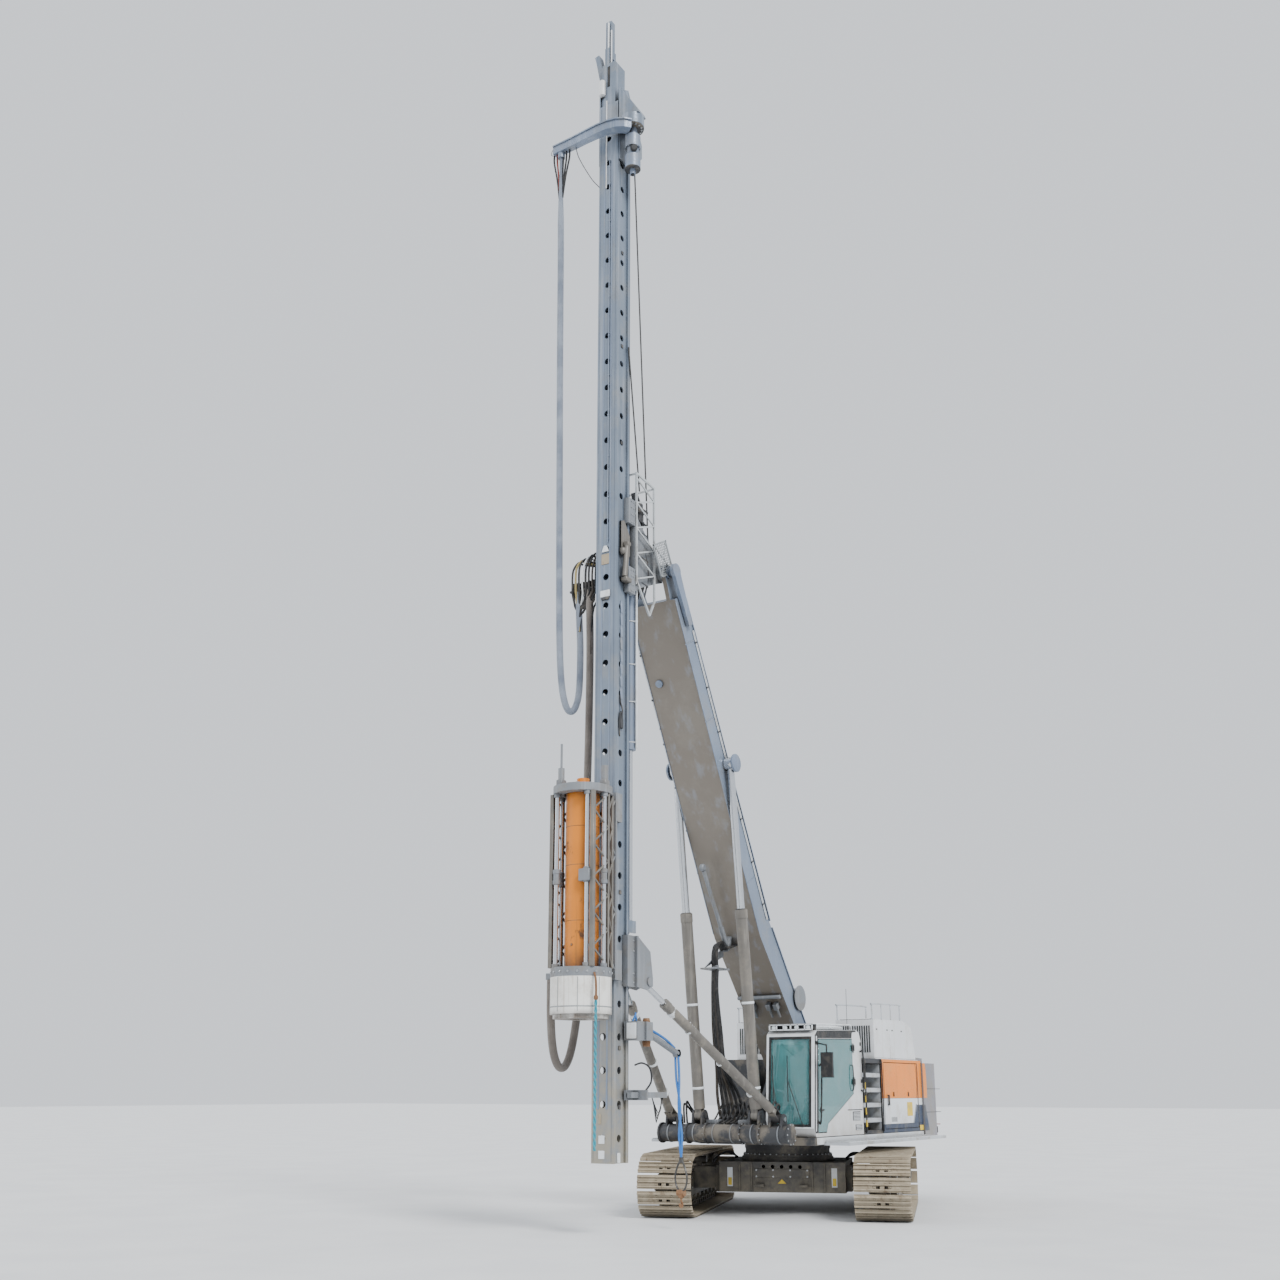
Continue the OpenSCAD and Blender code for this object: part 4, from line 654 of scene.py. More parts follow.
# Undercarriage details
trim = Piece("carriage_trim", "undercarriage", "dark", place=U)
bare = Piece("carriage_bolts", "undercarriage", "bright", place=U)
for side in SIDES:
    mid = side * GAUGE / 2
    for i in range(8):
        f = -WHEEL_F + 560 + (2 * WHEEL_F - 1120) * i / 7
        for s in SIDES:
            trim.turned((f, mid + s * 158, 243), (f, mid + s * 220, 243),
                        [(0, 70), (14, 70), (20, 58), (34, 54), (38, 40)], 20)
            trim.box(about(f, 34), span(s, 160, 184, mid), (250, 300), 5)
    for s in SIDES:
        b = mid + s * 190
        # Access covers, tensioner cover and idler hub
        for f in (-1150, -620, 90, 560, 1120):
            trim.box(about(f, 130), span(s, 0, 10, b), (380, 560), 4)
            for df in (-105, 105):
                for dz in (400, 540):
                    bare.bolt((f + df, b + s * 10, dz), (0, s, 0), 10, 8)
        trim.turned((WHEEL_F, b, TRACK_R), (WHEEL_F, b + s * 60, TRACK_R),
                    [(0, 120), (16, 120), (26, 92), (40, 84), (44, 30)], 28)
        bare.bolts((WHEEL_F, b + s * 16, TRACK_R), (0, s, 0), 104, 8, 9, 8)
        for r in (300, 232):
            for f in (WHEEL_F, -WHEEL_F):
                trim.turned((f, mid + s * 95, TRACK_R), (f, mid + s * 110, TRACK_R),
                            [(0, r), (10, r), (14, r - 8)], 36)
    out = mid + side * 280
    trim.turned((-WHEEL_F, out, TRACK_R), (-WHEEL_F, out + side * 60, TRACK_R),
                [(0, 172), (18, 172), (26, 150), (44, 138), (50, 60), (58, 54)], 36)
    bare.bolts((-WHEEL_F, out + side * 18, TRACK_R), (0, side, 0), 161, 18, 8, 7)
    # Sprocket teeth between the chain's pins
    for t in turns(22):
        c, n = (-WHEEL_F + 350 * sin(t), TRACK_R + 350 * cos(t)), (sin(t), cos(t))
        q = (cos(t), -sin(t))
        pts = [(c[0] + q[0] * u + n[0] * o, c[1] + q[1] * u + n[1] * o) for u, o in
               ((-30, -36), (-20, 30), (-9, 44), (9, 44), (20, 30), (30, -36))]
        trim.prism(pts, "side", *about(mid, 34), 2)
    # Steps on the frames' outer sides
    for f in (-700, 650):
        trim.box(about(f, 160), span(side, -90, 40, out), (604, 622), 4)
        for df in (-140, 140):
            trim.box(about(f + df, 8), span(side, -92, 30, out), (520, 606), 3)
# Carbody: flange bolts, plate seams, cable clamps, reflectors and the blank triangle
FLANGE_R = 742
for t in turns(44):
    bare.bolt((FLANGE_R * sin(t), FLANGE_R * cos(t), 910), (0, 0, 1), 12, 14)
for s in SIDES:
    for c in SIDES:
        for df in (-170, 0, 170):
            for dz in (-150, 150):
                bare.bolt((s * 560 + df, c * 1130, 545 + dz), (0, c, 0), 13, 12)
    for b in (-700, -500, 500, 700):
        trim.box(span(s, 950, 972), about(b, 14), (345, 800), 3)
    trim.box(span(s, 950, 962), (-460, 460), (560, 700), 5)
    for b in (-420, -140, 140, 420):
        for z in (580, 680):
            bare.bolt((s * 962, b, z), (s, 0, 0), 10, 8)
signs = Piece("carriage_reflectors", "undercarriage", "band", place=U)
marks = Piece("carriage_marks", "undercarriage", "yellow", place=U)
for s in SIDES:
    for b in (-860, 860):
        signs.box(span(s, 950, 958), about(b, 45), (420, 720), 2)
        marks.box(span(s, 958, 961), about(b, 30), (440, 560), 2)
    marks.prism([(-70, 470), (70, 470), (0, 540)], "cross", *span(s, 950, 956), 1)

# Hoses from the carbody into the track frames
hoses = Piece("carriage_hoses", "undercarriage", "rubber", place=U)
for side in hoses.sides():
    for k in (0, 1, 2):
        hoses.tube([(-520 - 60 * k, 960, 820), (-620 - 60 * k, 1060, 900 - 20 * k), (-760 - 50 * k, 1220, 880),
                    (-900 - 40 * k, 1420, 760), (-1050 - 30 * k, 1480, 560)], 17)


# Ropes: taut steel ropes from the head sheaves down to the sledge
def rope(name, points, *blend):
    piece = Piece(name, None, "rope")
    piece.tube(points, 13, 8, 1)
    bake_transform(piece.done())


def steps_between(p, q, n):
    return [lerp(p, q, i / n) for i in range(n + 1)]


rope("main_rope", steps_between((4700, 100, 10420), (5097, 75, 17460), 24),
     "sledge", "leader", tuple(P(4720, 100, 11000)), tuple(P(5080, 80, 17000)))
rope("auxiliary_rope", steps_between((5105, 190, 11180), (5449, 200, 13561), 12),
     "sledge", "leader", tuple(P(5110, 190, 11300)), tuple(P(5440, 200, 13500)))


# Cab: windscreen frame, seals, pillars, roof and interior
SCREEN_F, SCREEN_Z, SCREEN_BACK, SCREEN_RISE = 1830, 1365, 110, 1455


def on_screen(z, out):
    """Forward place of the windscreen's plane at a height, moved out by so much."""
    return SCREEN_F - SCREEN_BACK * (z - SCREEN_Z) / SCREEN_RISE + out


def screen_strip(piece, b, z, low, high):
    piece.wedge(*([(on_screen(h, out), h) for out in (low, high)] for h in z), b, 3)


cab = Piece("cab_frame", "upper", "band")
seal = Piece("cab_seals", "upper", "black")
for b in ((526, 564), (1321, 1371)):
    screen_strip(cab, b, (1372, 2815), -4, 10)
for z in ((1370, 1394), (2793, 2816)):
    screen_strip(cab, (560, 1325), z, -4, 10)
for b in ((562, 604), (1281, 1323)):
    screen_strip(seal, b, (1392, 2796), -6, 7)
for z in ((1392, 1434), (2750, 2796)):
    screen_strip(seal, (600, 1286), z, -6, 7)
# Left pillar ahead of the door, with its light stripe
seal.prism([(1712, 1302), (1792, 1302), (1826, 1368), (1719, 2812), (1636, 2884), (1623, 2758)], "side", 1374, 1379,
           2)
cab.prism([(1764, 1330), (1794, 1330), (1686, 2800), (1656, 2800)], "side", 1378, 1382, 1)
seal.prism([(264, 2806), (1622, 2766), (1632, 2884), (90, 2944), (70, 2916), (244, 2902)], "side", 1374, 1377, 1)
# Window seals on the inner side and at the back
for f, z in (((270, 1590), (1668, 1702)), ((270, 1590), (2688, 2722)), ((270, 302), (1668, 2722)),
             ((1558, 1590), (1668, 2722))):
    seal.box(f, (513, 521), z, 3)
for b, z in (((600, 1295), (1870, 1902)), ((600, 1295), (2638, 2670)), ((600, 632), (1870, 2670)),
             ((1263, 1295), (1870, 2670))):
    seal.box((-122, -114), b, z, 3)
# Wipers
for b0, b1 in ((1180, 900), (760, 640)):
    seal.rod((on_screen(1420, 22), b0, 1420), (on_screen(2150, 26), b1, 2150), 7, 8)
    seal.rod((on_screen(1780, 16), b1 + 20, 1780), (on_screen(2500, 16), b1 - 5, 2500), 8, 8)
    seal.turned((on_screen(1420, 0), b0, 1420), (on_screen(1420, 30), b0, 1420), [(0, 26), (18, 26), (26, 18)], 16)
# Grab rails
for pts in ([(1668, 1378, 1480), (1690, 1428, 1510), (1612, 1428, 2300), (1590, 1378, 2330)],
            [(-60, 1378, 1960), (-60, 1432, 1990), (-60, 1432, 2560), (-60, 1378, 2590)]):
    seal.tube(pts, 13, 10, 5)
# Vents low on the cab's rear quarter, and the dark line above them
for f, z in (((5, 325), (1470, 1615)), ((-55, 225), (1316, 1406))):
    seal.box(f, (1374, 1378), z, 2)
    f = (f[0] + 12, f[1] - 12)
    for z0 in range(z[0] + 8, z[1] - 14, 22):
        cab.hexa([(f[i], (1377, 1386)[j], z0 + (up, lean)[j]) for up, lean in ((0, -3), (10, 5))
                  for i, j in ((0, 0), (1, 0), (1, 1), (0, 1))], 0)
seal.box((-75, 525), (1374, 1380), (1636, 1650), 2)
for z in (2080, 2690):
    seal.box((-110, -60), (1374, 1381), (z, z + 60), 3)
# Roof: slatted visor, lamps' lenses, rails and unit
for b in range(7):
    cab.box((1700, 1722), (560 + b * 126, 582 + b * 126), (2896, 2992), 3)
for z in ((2892, 2912), (2972, 2994)):
    cab.box((1700, 1722), (560, 1338), z, 3)
cab.wedge([(1560, 2990), (1722, 2984)], [(1560, 3000), (1722, 2994)], (560, 1338), 2)
for b in (606, 1288):
    cab.tube([(1470, b, 2904), (1450, b, 2968), (1380, b, 2996), (700, b, 3014), (150, b, 3030), (80, b, 3008),
              (60, b, 2940)], 13, 10, 5)
cab.box((170, 690), (700, 1190), (2925, 3004), 22)
for k in range(5):
    seal.box((240 + 70 * k, 280 + 70 * k), (760, 1130), (3003, 3008), 1)
seal.turned((1380, 1190, 2900), (1380, 1190, 2990), [(0, 50), (40, 50), (60, 42), (86, 20)], 20)
seal.tube([(120, 1240, 2940), (118, 1240, 3300), (112, 1240, 3640)], 4, 6, 2)
inside = Piece("cab_interior", "upper", "black")
inside.box((1490, 1520), (1130, 1290), (1760, 1900), 8)
inside.rod((1500, 1210, 1500), (1505, 1210, 1770), 14, 10)
for b in ((640, 730), (1230, 1300)):
    inside.box((560, 1180), b, (1640, 1790), 14)
    inside.tube([(1120, sum(b) / 2, 1790), (1130, sum(b) / 2, 1860), (1150, sum(b) / 2, 1930)], 14, 8, 3)
    inside.turned((1150, sum(b) / 2, 1920), (1156, sum(b) / 2, 1990), [(0, 18), (20, 30), (50, 30), (68, 16)], 14)
for b in (860, 1010):
    inside.wedge([(1500, 1330), (1700, 1420)], [(1500, 1350), (1690, 1440)], (b, b + 90), 3)
    inside.rod((1620, b + 45, 1390), (1560, b + 45, 1640), 10, 8)
inside.tube([(1560, 700, 2700), (1500, 820, 2560), (1450, 900, 2480)], 12, 8, 4)
glow = Piece("lamp_lenses", "upper", "lamp")
for i in range(4):
    b = 640 + 205 * i
    glow.turned((1690, b, 2936), (1716, b, 2936), [(0, 38), (14, 38), (22, 26)], 18)
glow.box((1731, 1739), (1504, 1686), (2160, 2528), 3)
skin = Piece("door_glass_skin", "door", "pane")
skin.prism([(1378, 1316), (1684, 1316), (1596, 2746), (264, 2785), (264, 1910), (1306, 1455)], "side", 1376, 1380,
           1)
handle = Piece("door_handle", "door", "black")
handle.box((1500, 1600), (1380, 1410), (1640, 1668), 6)
handle.box((1560, 1612), (1379, 1386), (1615, 1700), 4)
handle.tube([(330, 1380, 1960), (330, 1412, 1990), (330, 1412, 2330), (330, 1380, 2360)], 10, 8, 4)

# Side panels in their colours, on both sides
SIDE_WORDS = ((1, "left"), (-1, "right"))
STRIPES = {"navy": (1240, 1381), "band": (1385, 1818), "orange": (1822, 2488)}
HOUSE_F, FLAP_F = (-2709, -1071), (-2662, -1084)
for side, word in SIDE_WORDS:
    here, flap = on_side(side), "service_panel_" + word
    front_end = -984 if side > 0 else -152
    for look, z in STRIPES.items():
        fixed = Piece("house_%s_%s" % (look, word), "upper", look, place=here)
        moving = Piece("panel_%s_%s" % (look, word), flap, look, place=here)
        for f in ((-2898, -2716), (-1071, front_end)):
            fixed.box(f, (1369, 1376), z, 2)
        if look == "navy":
            fixed.box(HOUSE_F, (1369, 1376), (1240, 1296), 2)
            moving.box(FLAP_F, (1374, 1379), (1309, 1381), 2)
            moving.prism([(-2440, 1384), (-2600, 1700), (-2662, 1700), (-2662, 1384)], "side", 1379, 1382, 1)
            fixed.prism([(-2716, 1384), (-2716, 1700), (-2898, 1700), (-2898, 1384)], "side", 1376, 1379, 1)
        elif look == "band":
            moving.box(FLAP_F, (1374, 1379), z, 2)
        else:
            fixed.box(HOUSE_F, (1369, 1376), (2439, 2488), 2)
            moving.box(FLAP_F, (1374, 1379), (1822, 2426), 2)
    line = Piece("panel_line_" + word, flap, "blue", place=here)
    line.prism([(-2396, 1386), (-2424, 1386), (-2592, 1716), (-2564, 1716)], "side", 1379, 1383, 1)
    plate = Piece("panel_plate_" + word, flap, "yellow", place=here)
    plate.box((-2380, -2120), (1378, 1383), (1510, 1750), 3)
    dark = Piece("panel_fittings_" + word, flap, "black", place=here)
    for f in (-1500, -2200):
        dark.box(about(f, 16), (1378, 1392), (1850, 1930), 5)
        dark.rod((f, 1379, 1870), (f, 1396, 1870), 11, 10)
    dark.tube([(-2600, 1380, 2424), (-2634, 1380, 2260), (-2640, 1380, 2050), (-2596, 1380, 1826)], 3.5, 6, 5)
    for k in range(9):
        dark.box((-1380 - 30 * k, -1368 - 30 * k), (1378, 1381), (1420, 1500), 1)

# Ladder recess: light rungs, handrail with yellow sleeves
rungs = Piece("ladder_rungs", "upper", "walk")
for z in (1450, 1700, 1950, 2200):
    rungs.box((-960, -170), (1196, 1338), (z + 30, z + 42), 3)
    for k in range(18):
        rungs.box((-945 + 43 * k, -925 + 43 * k), (1204, 1330), (z + 42, z + 49), 1)
    rungs.box((-960, -170), (1336, 1356), (z - 26, z + 46), 4)
rail = Piece("ladder_rail", "upper", "black")
rail.tube([(-176, 1370, 1330), (-176, 1408, 1350), (-176, 1408, 2400), (-176, 1370, 2420)], 13, 10, 5)
rail.tube([(-950, 1370, 1330), (-950, 1400, 1350), (-950, 1400, 2400), (-950, 1370, 2420)], 11, 10, 5)
marks = Piece("ladder_marks", "upper", "yellow")
for z in (1360, 1560, 1760, 1980):
    marks.rod((-176, 1408, z), (-176, 1408, z + 110), 15.5, 12)
marks.box((-2894, -2720), (1376, 1381), (1250, 1340), 2)

# Hoods, engine cover and roof of the house
cover = Piece("hood_panels", "upper", "white")
for side in cover.sides():
    for outline in ([(-780, 2512), (-780, 3146), (-1490, 3161), (-1490, 2512)],
                    [(-1498, 2512), (-1498, 3161), (-2146, 3175), (-2545, 3070), (-2700, 2552), (-2700, 2512)]):
        cover.prism(outline, "side", 1348, 1354, 2)
    cover.box((-2080, -800), (700, 1300), (3170, 3184), 5)
    cover.box((-2790, -760), (1352, 1368), (2488, 2502), 3)
vents = Piece("hood_vents", "upper", "black")
for side in vents.sides():
    for k in range(14):
        vents.box((-760, -754), (690 + 44 * k, 712 + 44 * k), (2600, 3060), 0)
        vents.box((-1980, -1700), (720 + 40 * k, 740 + 40 * k), (3182, 3187), 0)
    for f in (-900, -1380, -1620, -2060):
        vents.box(about(f, 30), (1352, 1358), (2990, 3010), 2)
    vents.rod((-2300, 500, 2520), (-2300, 500, 2560), 60, 20)
for k in range(22):
    vents.box((-2760 + 48 * k, -2740 + 48 * k), (-560, 560), (2519, 2526), 0)
stack = Piece("exhaust_stack", "upper", "rust")
stack.turned((-2250, 330, 2515), (-2250, 330, 3060), [(0, 120), (260, 120), (280, 84), (545, 80)], 26)
stack.turned((-2250, 330, 3040), (-2330, 330, 3140), [(0, 80), (125, 78)], 22)
rails = Piece("roof_rails", "upper", "walk")
for side in rails.sides():
    for b in (660, 1320):
        rails.tube([(-800, b, 3165), (-800, b, 3400), (-860, b, 3440), (-2020, b, 3470), (-2100, b, 3430),
                    (-2100, b, 3190)], 15)
    for f in (-1230, -1660):
        rails.rod((f, 1320, 3175), (f, 1320, 3450), 12, 8)

# Counterweight: seams, lugs, lights and the orange corner
seams = Piece("counterweight_seams", "upper", "black")
for z in (1560, 1980):
    for side in seams.sides():
        seams.box((-3775, -2905), (1407, 1411), (z, z + 9), 1)
    seams.box((-3784, -3776), (-1380, 1380), (z, z + 9), 1)
for b in (-470, 470):
    seams.box((-3784, -3777), about(b, 5), (1100, 2440), 1)
lugs = Piece("counterweight_lugs", "upper", "dark")
for side in lugs.sides():
    for f in (-3100, -3560):
        lugs.prism([(f - 80, 2540), (f + 80, 2540), (f + 60, 2640), (f + 24, 2690), (f - 24, 2690), (f - 60, 2640)],
                   "side", 880, 920, 5)
        lugs.rod((f, 870, 2630), (f, 930, 2630), 34, 18)
    lugs.box((-3792, -3776), (1060, 1330), (1180, 1300), 8)
tail = Piece("tail_lamps", "upper", "red")
for side in tail.sides():
    tail.box((-3800, -3790), (1090, 1200), (1200, 1280), 6)
tail.prism([(1130, 1330), (1380, 1330), (1380, 1345), (1130, 1345)], "cross", -3786, -3779, 1)
corner = Piece("counterweight_colour", "upper", "orange")
for side in corner.sides():
    corner.prism([(-2905, 1822), (-2905, 2446), (-3010, 2446), (-3044, 2330), (-3064, 2150), (-3068, 1980),
                  (-3060, 1822)], "side", 1409, 1413, 1)
corner = Piece("counterweight_skirt", "upper", "navy")
for side in corner.sides():
    corner.prism([(-2905, 1240), (-2905, 1700), (-2960, 1700), (-3120, 1240)], "side", 1409, 1413, 1)

# Boom: edge flanges, pipes, seams, clamps, hose fan, small cylinder and drum
KNEE, HEAD, FOOT = (1508, 4576), (4472, 9984), (-447, 2184)


def on_boom(low, high, s, out, b):
    """A point beside one section of the boom: s along it, out square to it on its upper side, b sideways."""
    n = hypot(high[0] - low[0], high[1] - low[1])
    d = ((high[0] - low[0]) / n, (high[1] - low[1]) / n)
    return (low[0] + d[0] * s - d[1] * out, b, low[1] + d[1] * s + d[0] * out)


def upper_boom(s, out, b):
    return on_boom(KNEE, HEAD, s, out, b)


def lower_boom(s, out, b):
    return on_boom(FOOT, KNEE, s, out, b)


def strake(piece, place, s, o0, o1, b, bevel=2):
    """A strip along the boom, from o0 to o1 above its axis; each has a value at either end."""
    piece.hexa([place(s[k], o[k], b[j]) for o in (o0, o1) for k, j in ((0, 0), (1, 0), (1, 1), (0, 1))], bevel)


def boom_block(piece, place, s, o, b, bevel=2):
    strake(piece, place, s, (o[0], o[0]), (o[1], o[1]), b, bevel)


flanges = Piece("boom_flanges", "boom", "blue")
for side in flanges.sides():
    strake(flanges, upper_boom, (60, 5700), (204, 166), (222, 182), (424, 452))
    strake(flanges, lower_boom, (300, 2980), (150, 206), (168, 224), (424, 452))
    strake(flanges, upper_boom, (60, 5700), (-240, -180), (-226, -164), (424, 436))
    flanges.turned((2808, 600, 7155), (2808, 640, 7155), [(0, 150), (30, 150), (38, 138)], 32)
    flanges.rod((2808, 430, 7155), (2808, 604, 7155), 92, 24, 3)
    for s in (900, 2300, 3700, 5000):
        strake(flanges, upper_boom, (s, s + 14), (-225, -222), (204, 200), (428, 436))
flanges.turned(upper_boom(4450, -190, -230), upper_boom(4450, -235, -230), [(0, 62), (30, 62), (42, 40)], 24)
clamps = Piece("boom_clamps", "boom", "dark")
lines = Piece("boom_pipes", "boom", "band")
for out, b in ((150, 440), (118, 440), (-196, -440)):
    lines.tube([upper_boom(s, out, b) for s in range(120, 5200, 560)], 9, 8, 3)
    for s in range(400, 5000, 760):
        boom_block(clamps, upper_boom, about(s, 14), about(out, 20), (b - 10, b + 9), 3)
for s in range(200, 5600, 900):
    boom_block(clamps, upper_boom, about(s, 8), (200, 270), (250, 350), 3)
for b in (275, 300, 325):
    lines.tube([upper_boom(s, 255, b) for s in range(160, 5650, 600)], 9, 6, 3)
low = Piece("boom_foot_gear", "boom", "grey")
low.rod(lower_boom(1500, 250, 250), lower_boom(1500, 250, 470), 170, 30, 8)
for b in (245, 462):
    low.disc(lower_boom(1500, 250, b), lower_boom(1500, 250, b + 12), 215, 36)
low.rod(lower_boom(1900, -260, -400), lower_boom(1900, -260, 400), 34, 14)
for b in (-300, -180, 120, 260):
    boom_block(low, lower_boom, (1640, 1760), (-300, -190), about(b, 40), 8)
    low.rod(lower_boom(1640, -250, b), lower_boom(1480, -250, b), 22, 12)
low.box((1950, 2380), (-340, -20), (3880, 3905), 4)
low.wedge([(1640, 4140), (2300, 3900)], [(1640, 4300), (2200, 3960)], (-320, -300), 3)
for k in range(6):
    low.rod((2040 + 55 * k, -290 + 48 * k, 3860), (2040 + 55 * k, -290 + 48 * k, 3940), 25, 6, 2)
low.rod((2560, -150, 5470), (1880, -150, 4410), 34, 16)
low.rod((2000, -150, 4596), (1800, -150, 4284), 46, 16)
low.turned((2595, -190, 5520), (2595, -110, 5520), [(0, 44), (20, 62), (60, 62), (80, 44)], 24)
low.wedge([(1760, 4240), (1850, 4200)], [(1700, 4480), (1800, 4420)], (-200, -100), 4)
for k in range(6):
    b = -290 + 48 * k
    hose = Piece("fan_hose_%d" % k, "boom", "rubber")
    f = 2040 + 55 * k
    hose.tube([(f, b, 3930), (f + 10, b, 4120), (f - 60, b, 4290), (f - 200, b, 4330), (f - 320, b, 4250),
               (1620, b, 4330)], 19, 8, 4)
    hose = Piece("nose_hose_%d" % k, None, "rubber" if k % 3 else "rubber_brown")
    hose.tube([(f, b, 3870), (f + 20, b, 3500), (f - 10 - 20 * k, b - 10, 2900), (f - 120 - 30 * k, b - 20, 2300),
               (1900 - 60 * k, b - 20, 1850), (1800 - 60 * k, b, 1420)], 25, 10, 5)
    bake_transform(hose.done(), "upper", "boom", start=tuple(P(1850, b, 1700)), end=tuple(P(2150, b, 3600)))

# Cylinders: clamps, pipes and glands; the boom cylinders lean forward by LEAN for each RISE
LEAN, RISE = 0.11995, 0.99278
for side, word in SIDE_WORDS:
    here, b = on_side(side), 512
    ring = Piece("boom_barrel_bands_" + word, "boom_barrels", "band", place=here)

    def axis(t, out=0):
        """A point beside the boom cylinder: t along it from the foot, out square to it."""
        return (2132 + LEAN * t + RISE * out, b, 1560 + RISE * t - LEAN * out)

    for t in (420, 1750):
        ring.turned(axis(t), axis(t + 40), [(0, 98), (4, 101), (34, 101), (38, 98)], 28)
        p = axis(t + 20, -120)
        ring.box(about(p[0], 24), about(b, 16), about(p[2], 16), 4)
    ring.tube([axis(260, -116), axis(900, -118), axis(1750, -118), axis(2500, -118), axis(3050, -112)], 12, 8, 4)
    gland = Piece("boom_gland_" + word, "boom_barrels", "dark", place=here)
    gland.turned(axis(3249), axis(3268), [(0, 92), (10, 92), (18, 80)], 28)
    for t in turns(8):
        gland.turned((axis(3249)[0] + 76 * cos(t), b + 76 * sin(t), axis(3249)[2] - 9 * cos(t)),
                     (axis(3272)[0] + 76 * cos(t), b + 76 * sin(t), axis(3272)[2] - 9 * cos(t)), [(0, 9), (20, 9)],
                     6)
    # Stay cylinders
    foot, top = (2230, 936, 1520), (4992, 170, 3484)
    length = dist(foot, top)

    def stay(t):
        return lerp(foot, top, t / length)

    bands = Piece("stay_bands_" + word, "stay_barrel_" + word, "band", place=here)
    for t in (700, 1500, 2300):
        bands.turned(stay(t), stay(t + 34), [(0, 77), (4, 81), (30, 81), (34, 77)], 24)
        q = stay(t + 17)
        bands.box(about(q[0], 22), about(q[1], 15), (q[2] + 74, q[2] + 112), 4)
    bands.tube([tuple(c + d for c, d in zip(stay(t), (0, 0, 104))) for t in range(420, 2720, 460)], 11, 8, 4)
    bands.turned(stay(2700), stay(2790), [(0, 78), (70, 82), (84, 82), (90, 70)], 24)
    loops = Piece("stay_hoses_" + word, "upper", "rubber", place=here)
    for k in (0, 1):
        loops.tube([(2150, 790 - 50 * k, 1440), (2120, 820 - 50 * k, 1640), (2050, 850 - 50 * k, 1740 + 40 * k),
                    (1960, 840 - 50 * k, 1700), (1900, 760 - 50 * k, 1560), (1860, 720 - 50 * k, 1400)], 17, 8, 6)

# Nose: pipe rings, valve blocks and hoses
TUBE_F, TUBE_Z = 2230, 1290
nose = Piece("nose_rings", "upper", "grey")
for b in (-1156, -990, -520, -160, 160, 520, 990, 1156):
    nose.disc((TUBE_F, b - 9, TUBE_Z), (TUBE_F, b + 9, TUBE_Z), 150, 32)
for k in range(5):
    nose.box((1500, 1620), (-330 + 130 * k, -250 + 130 * k), (1425, 1530), 8)
    nose.rod((1560, -290 + 130 * k, 1530), (1560, -290 + 130 * k, 1580), 26, 6, 2)
for side in nose.sides():
    nose.box((1960, 2140), (180, 400), (1425, 1500), 8)
    nose.turned((2172, 320, 1380), (2196, 320, 1380), [(0, 60), (16, 60), (22, 50)], 22)
bolts = Piece("nose_bolts", "upper", "bright")
for b in (313, 653, 1156):
    for side in bolts.sides():
        bolts.bolts((TUBE_F, b + 13, TUBE_Z), (0, 1, 0), 153, 10, 9, 9)
tangle = Piece("nose_hoses", "upper", "rubber")
for k in range(9):
    b = -360 + 80 * k
    tangle.tube([(1580, b, 1560), (1700, b + 30, 1720 + 24 * (k % 3)), (1880, b + 70, 1640), (1990, b + 40, 1500),
                 (2130, b, 1440)], 15)

# Deck edge strips and gratings
strip = Piece("deck_edges", "upper", "band")
for side in strip.sides():
    strip.box((-2880, 960 if side < 0 else 1760), (1376, 1384), (1128, 1232), 3)
    for k in range(72):
        f = -2830 + 60 * k
        strip.box((f, f + 16), (1424, 1806), (1159, 1166), 0)
    for b in (1424, 1800):
        strip.box((-2845, 1495), (b, b + 8), (1158, 1172), 0)

# Head panel: a framed grille beside the head pin, on brackets from its left keeper arm
HEAD_PIN_S = 6167


def at_head(s, out, b):
    return upper_boom(HEAD_PIN_S + s, out, b)


grille = Piece("head_grille", "head_pin", "mesh")
for s in (-34, 478):
    boom_block(grille, at_head, (s, s + 28), (-300, 150), (348, 366))
for o in (-300, 122):
    boom_block(grille, at_head, (-34, 506), (o, o + 28), (348, 366))
for k in range(13):
    boom_block(grille, at_head, (2 + 37 * k, 14 + 37 * k), (-290, 140), (354, 360))
for k in range(7):
    boom_block(grille, at_head, (-20, 492), (-250 + 55 * k, -238 + 55 * k), (351, 357))
strake(grille, at_head, (-20, 470), (-280, 90), (-250, 120), (360, 368))
strake(grille, at_head, (-20, 470), (90, -280), (120, -250), (360, 368))
boom_block(grille, at_head, (-70, 0), (90, 130), (352, 445))
strake(grille, at_head, (-260, -20), (60, 120), (90, 150), (430, 445))

# Sledge: tilt cylinder, plates, clamps, and the gear inside the cage
gear = Piece("sledge_gear", "sledge", "cylinder")
gear.rod((5545, 240, 10090), (5612, 240, 9560), 46, 22, 6)
gear.turned((5600, 186, 9990), (5600, 262, 9990), [(0, 64), (30, 64), (58, 48), (74, 18)], 24)
gear.prism([(5640, 10480), (5560, 10515), (5400, 10300), (5400, 9960), (5640, 9930)], "side", 187, 203, 4)
gear.box((5480, 5640), (187, 292), (9490, 9562), 10)
gear.box((5500, 5590), (203, 290), (10080, 10150), 10)
inner = Piece("cage_gear", "sledge", "dark")
inner.rod((4930, 60, 9560), (4930, 60, 11050), 74, 18)
inner.rod((4890, -90, 9700), (4890, -90, 10900), 52, 16)
for k in range(7):
    z = 9620 + 210 * k
    inner.box((4850, 5010), (-150, 130), (z, z + 70 + 12 * (k % 3)), 8)
    inner.rod((4840, 180 - 30 * (k % 2), z + 30), (5040, 180 - 30 * (k % 2), z + 40), 16, 8)
for k in range(5):
    inner.tube([(4900, 150 - 60 * k, 9450), (4840, 190 - 60 * k, 9900), (4980, 160 - 50 * k, 10400),
                (4900, 120 - 40 * k, 10900), (5000, 60 - 20 * k, 11240)], 15, 7, 5)
bits = Piece("sledge_bolts", "sledge", "bright")
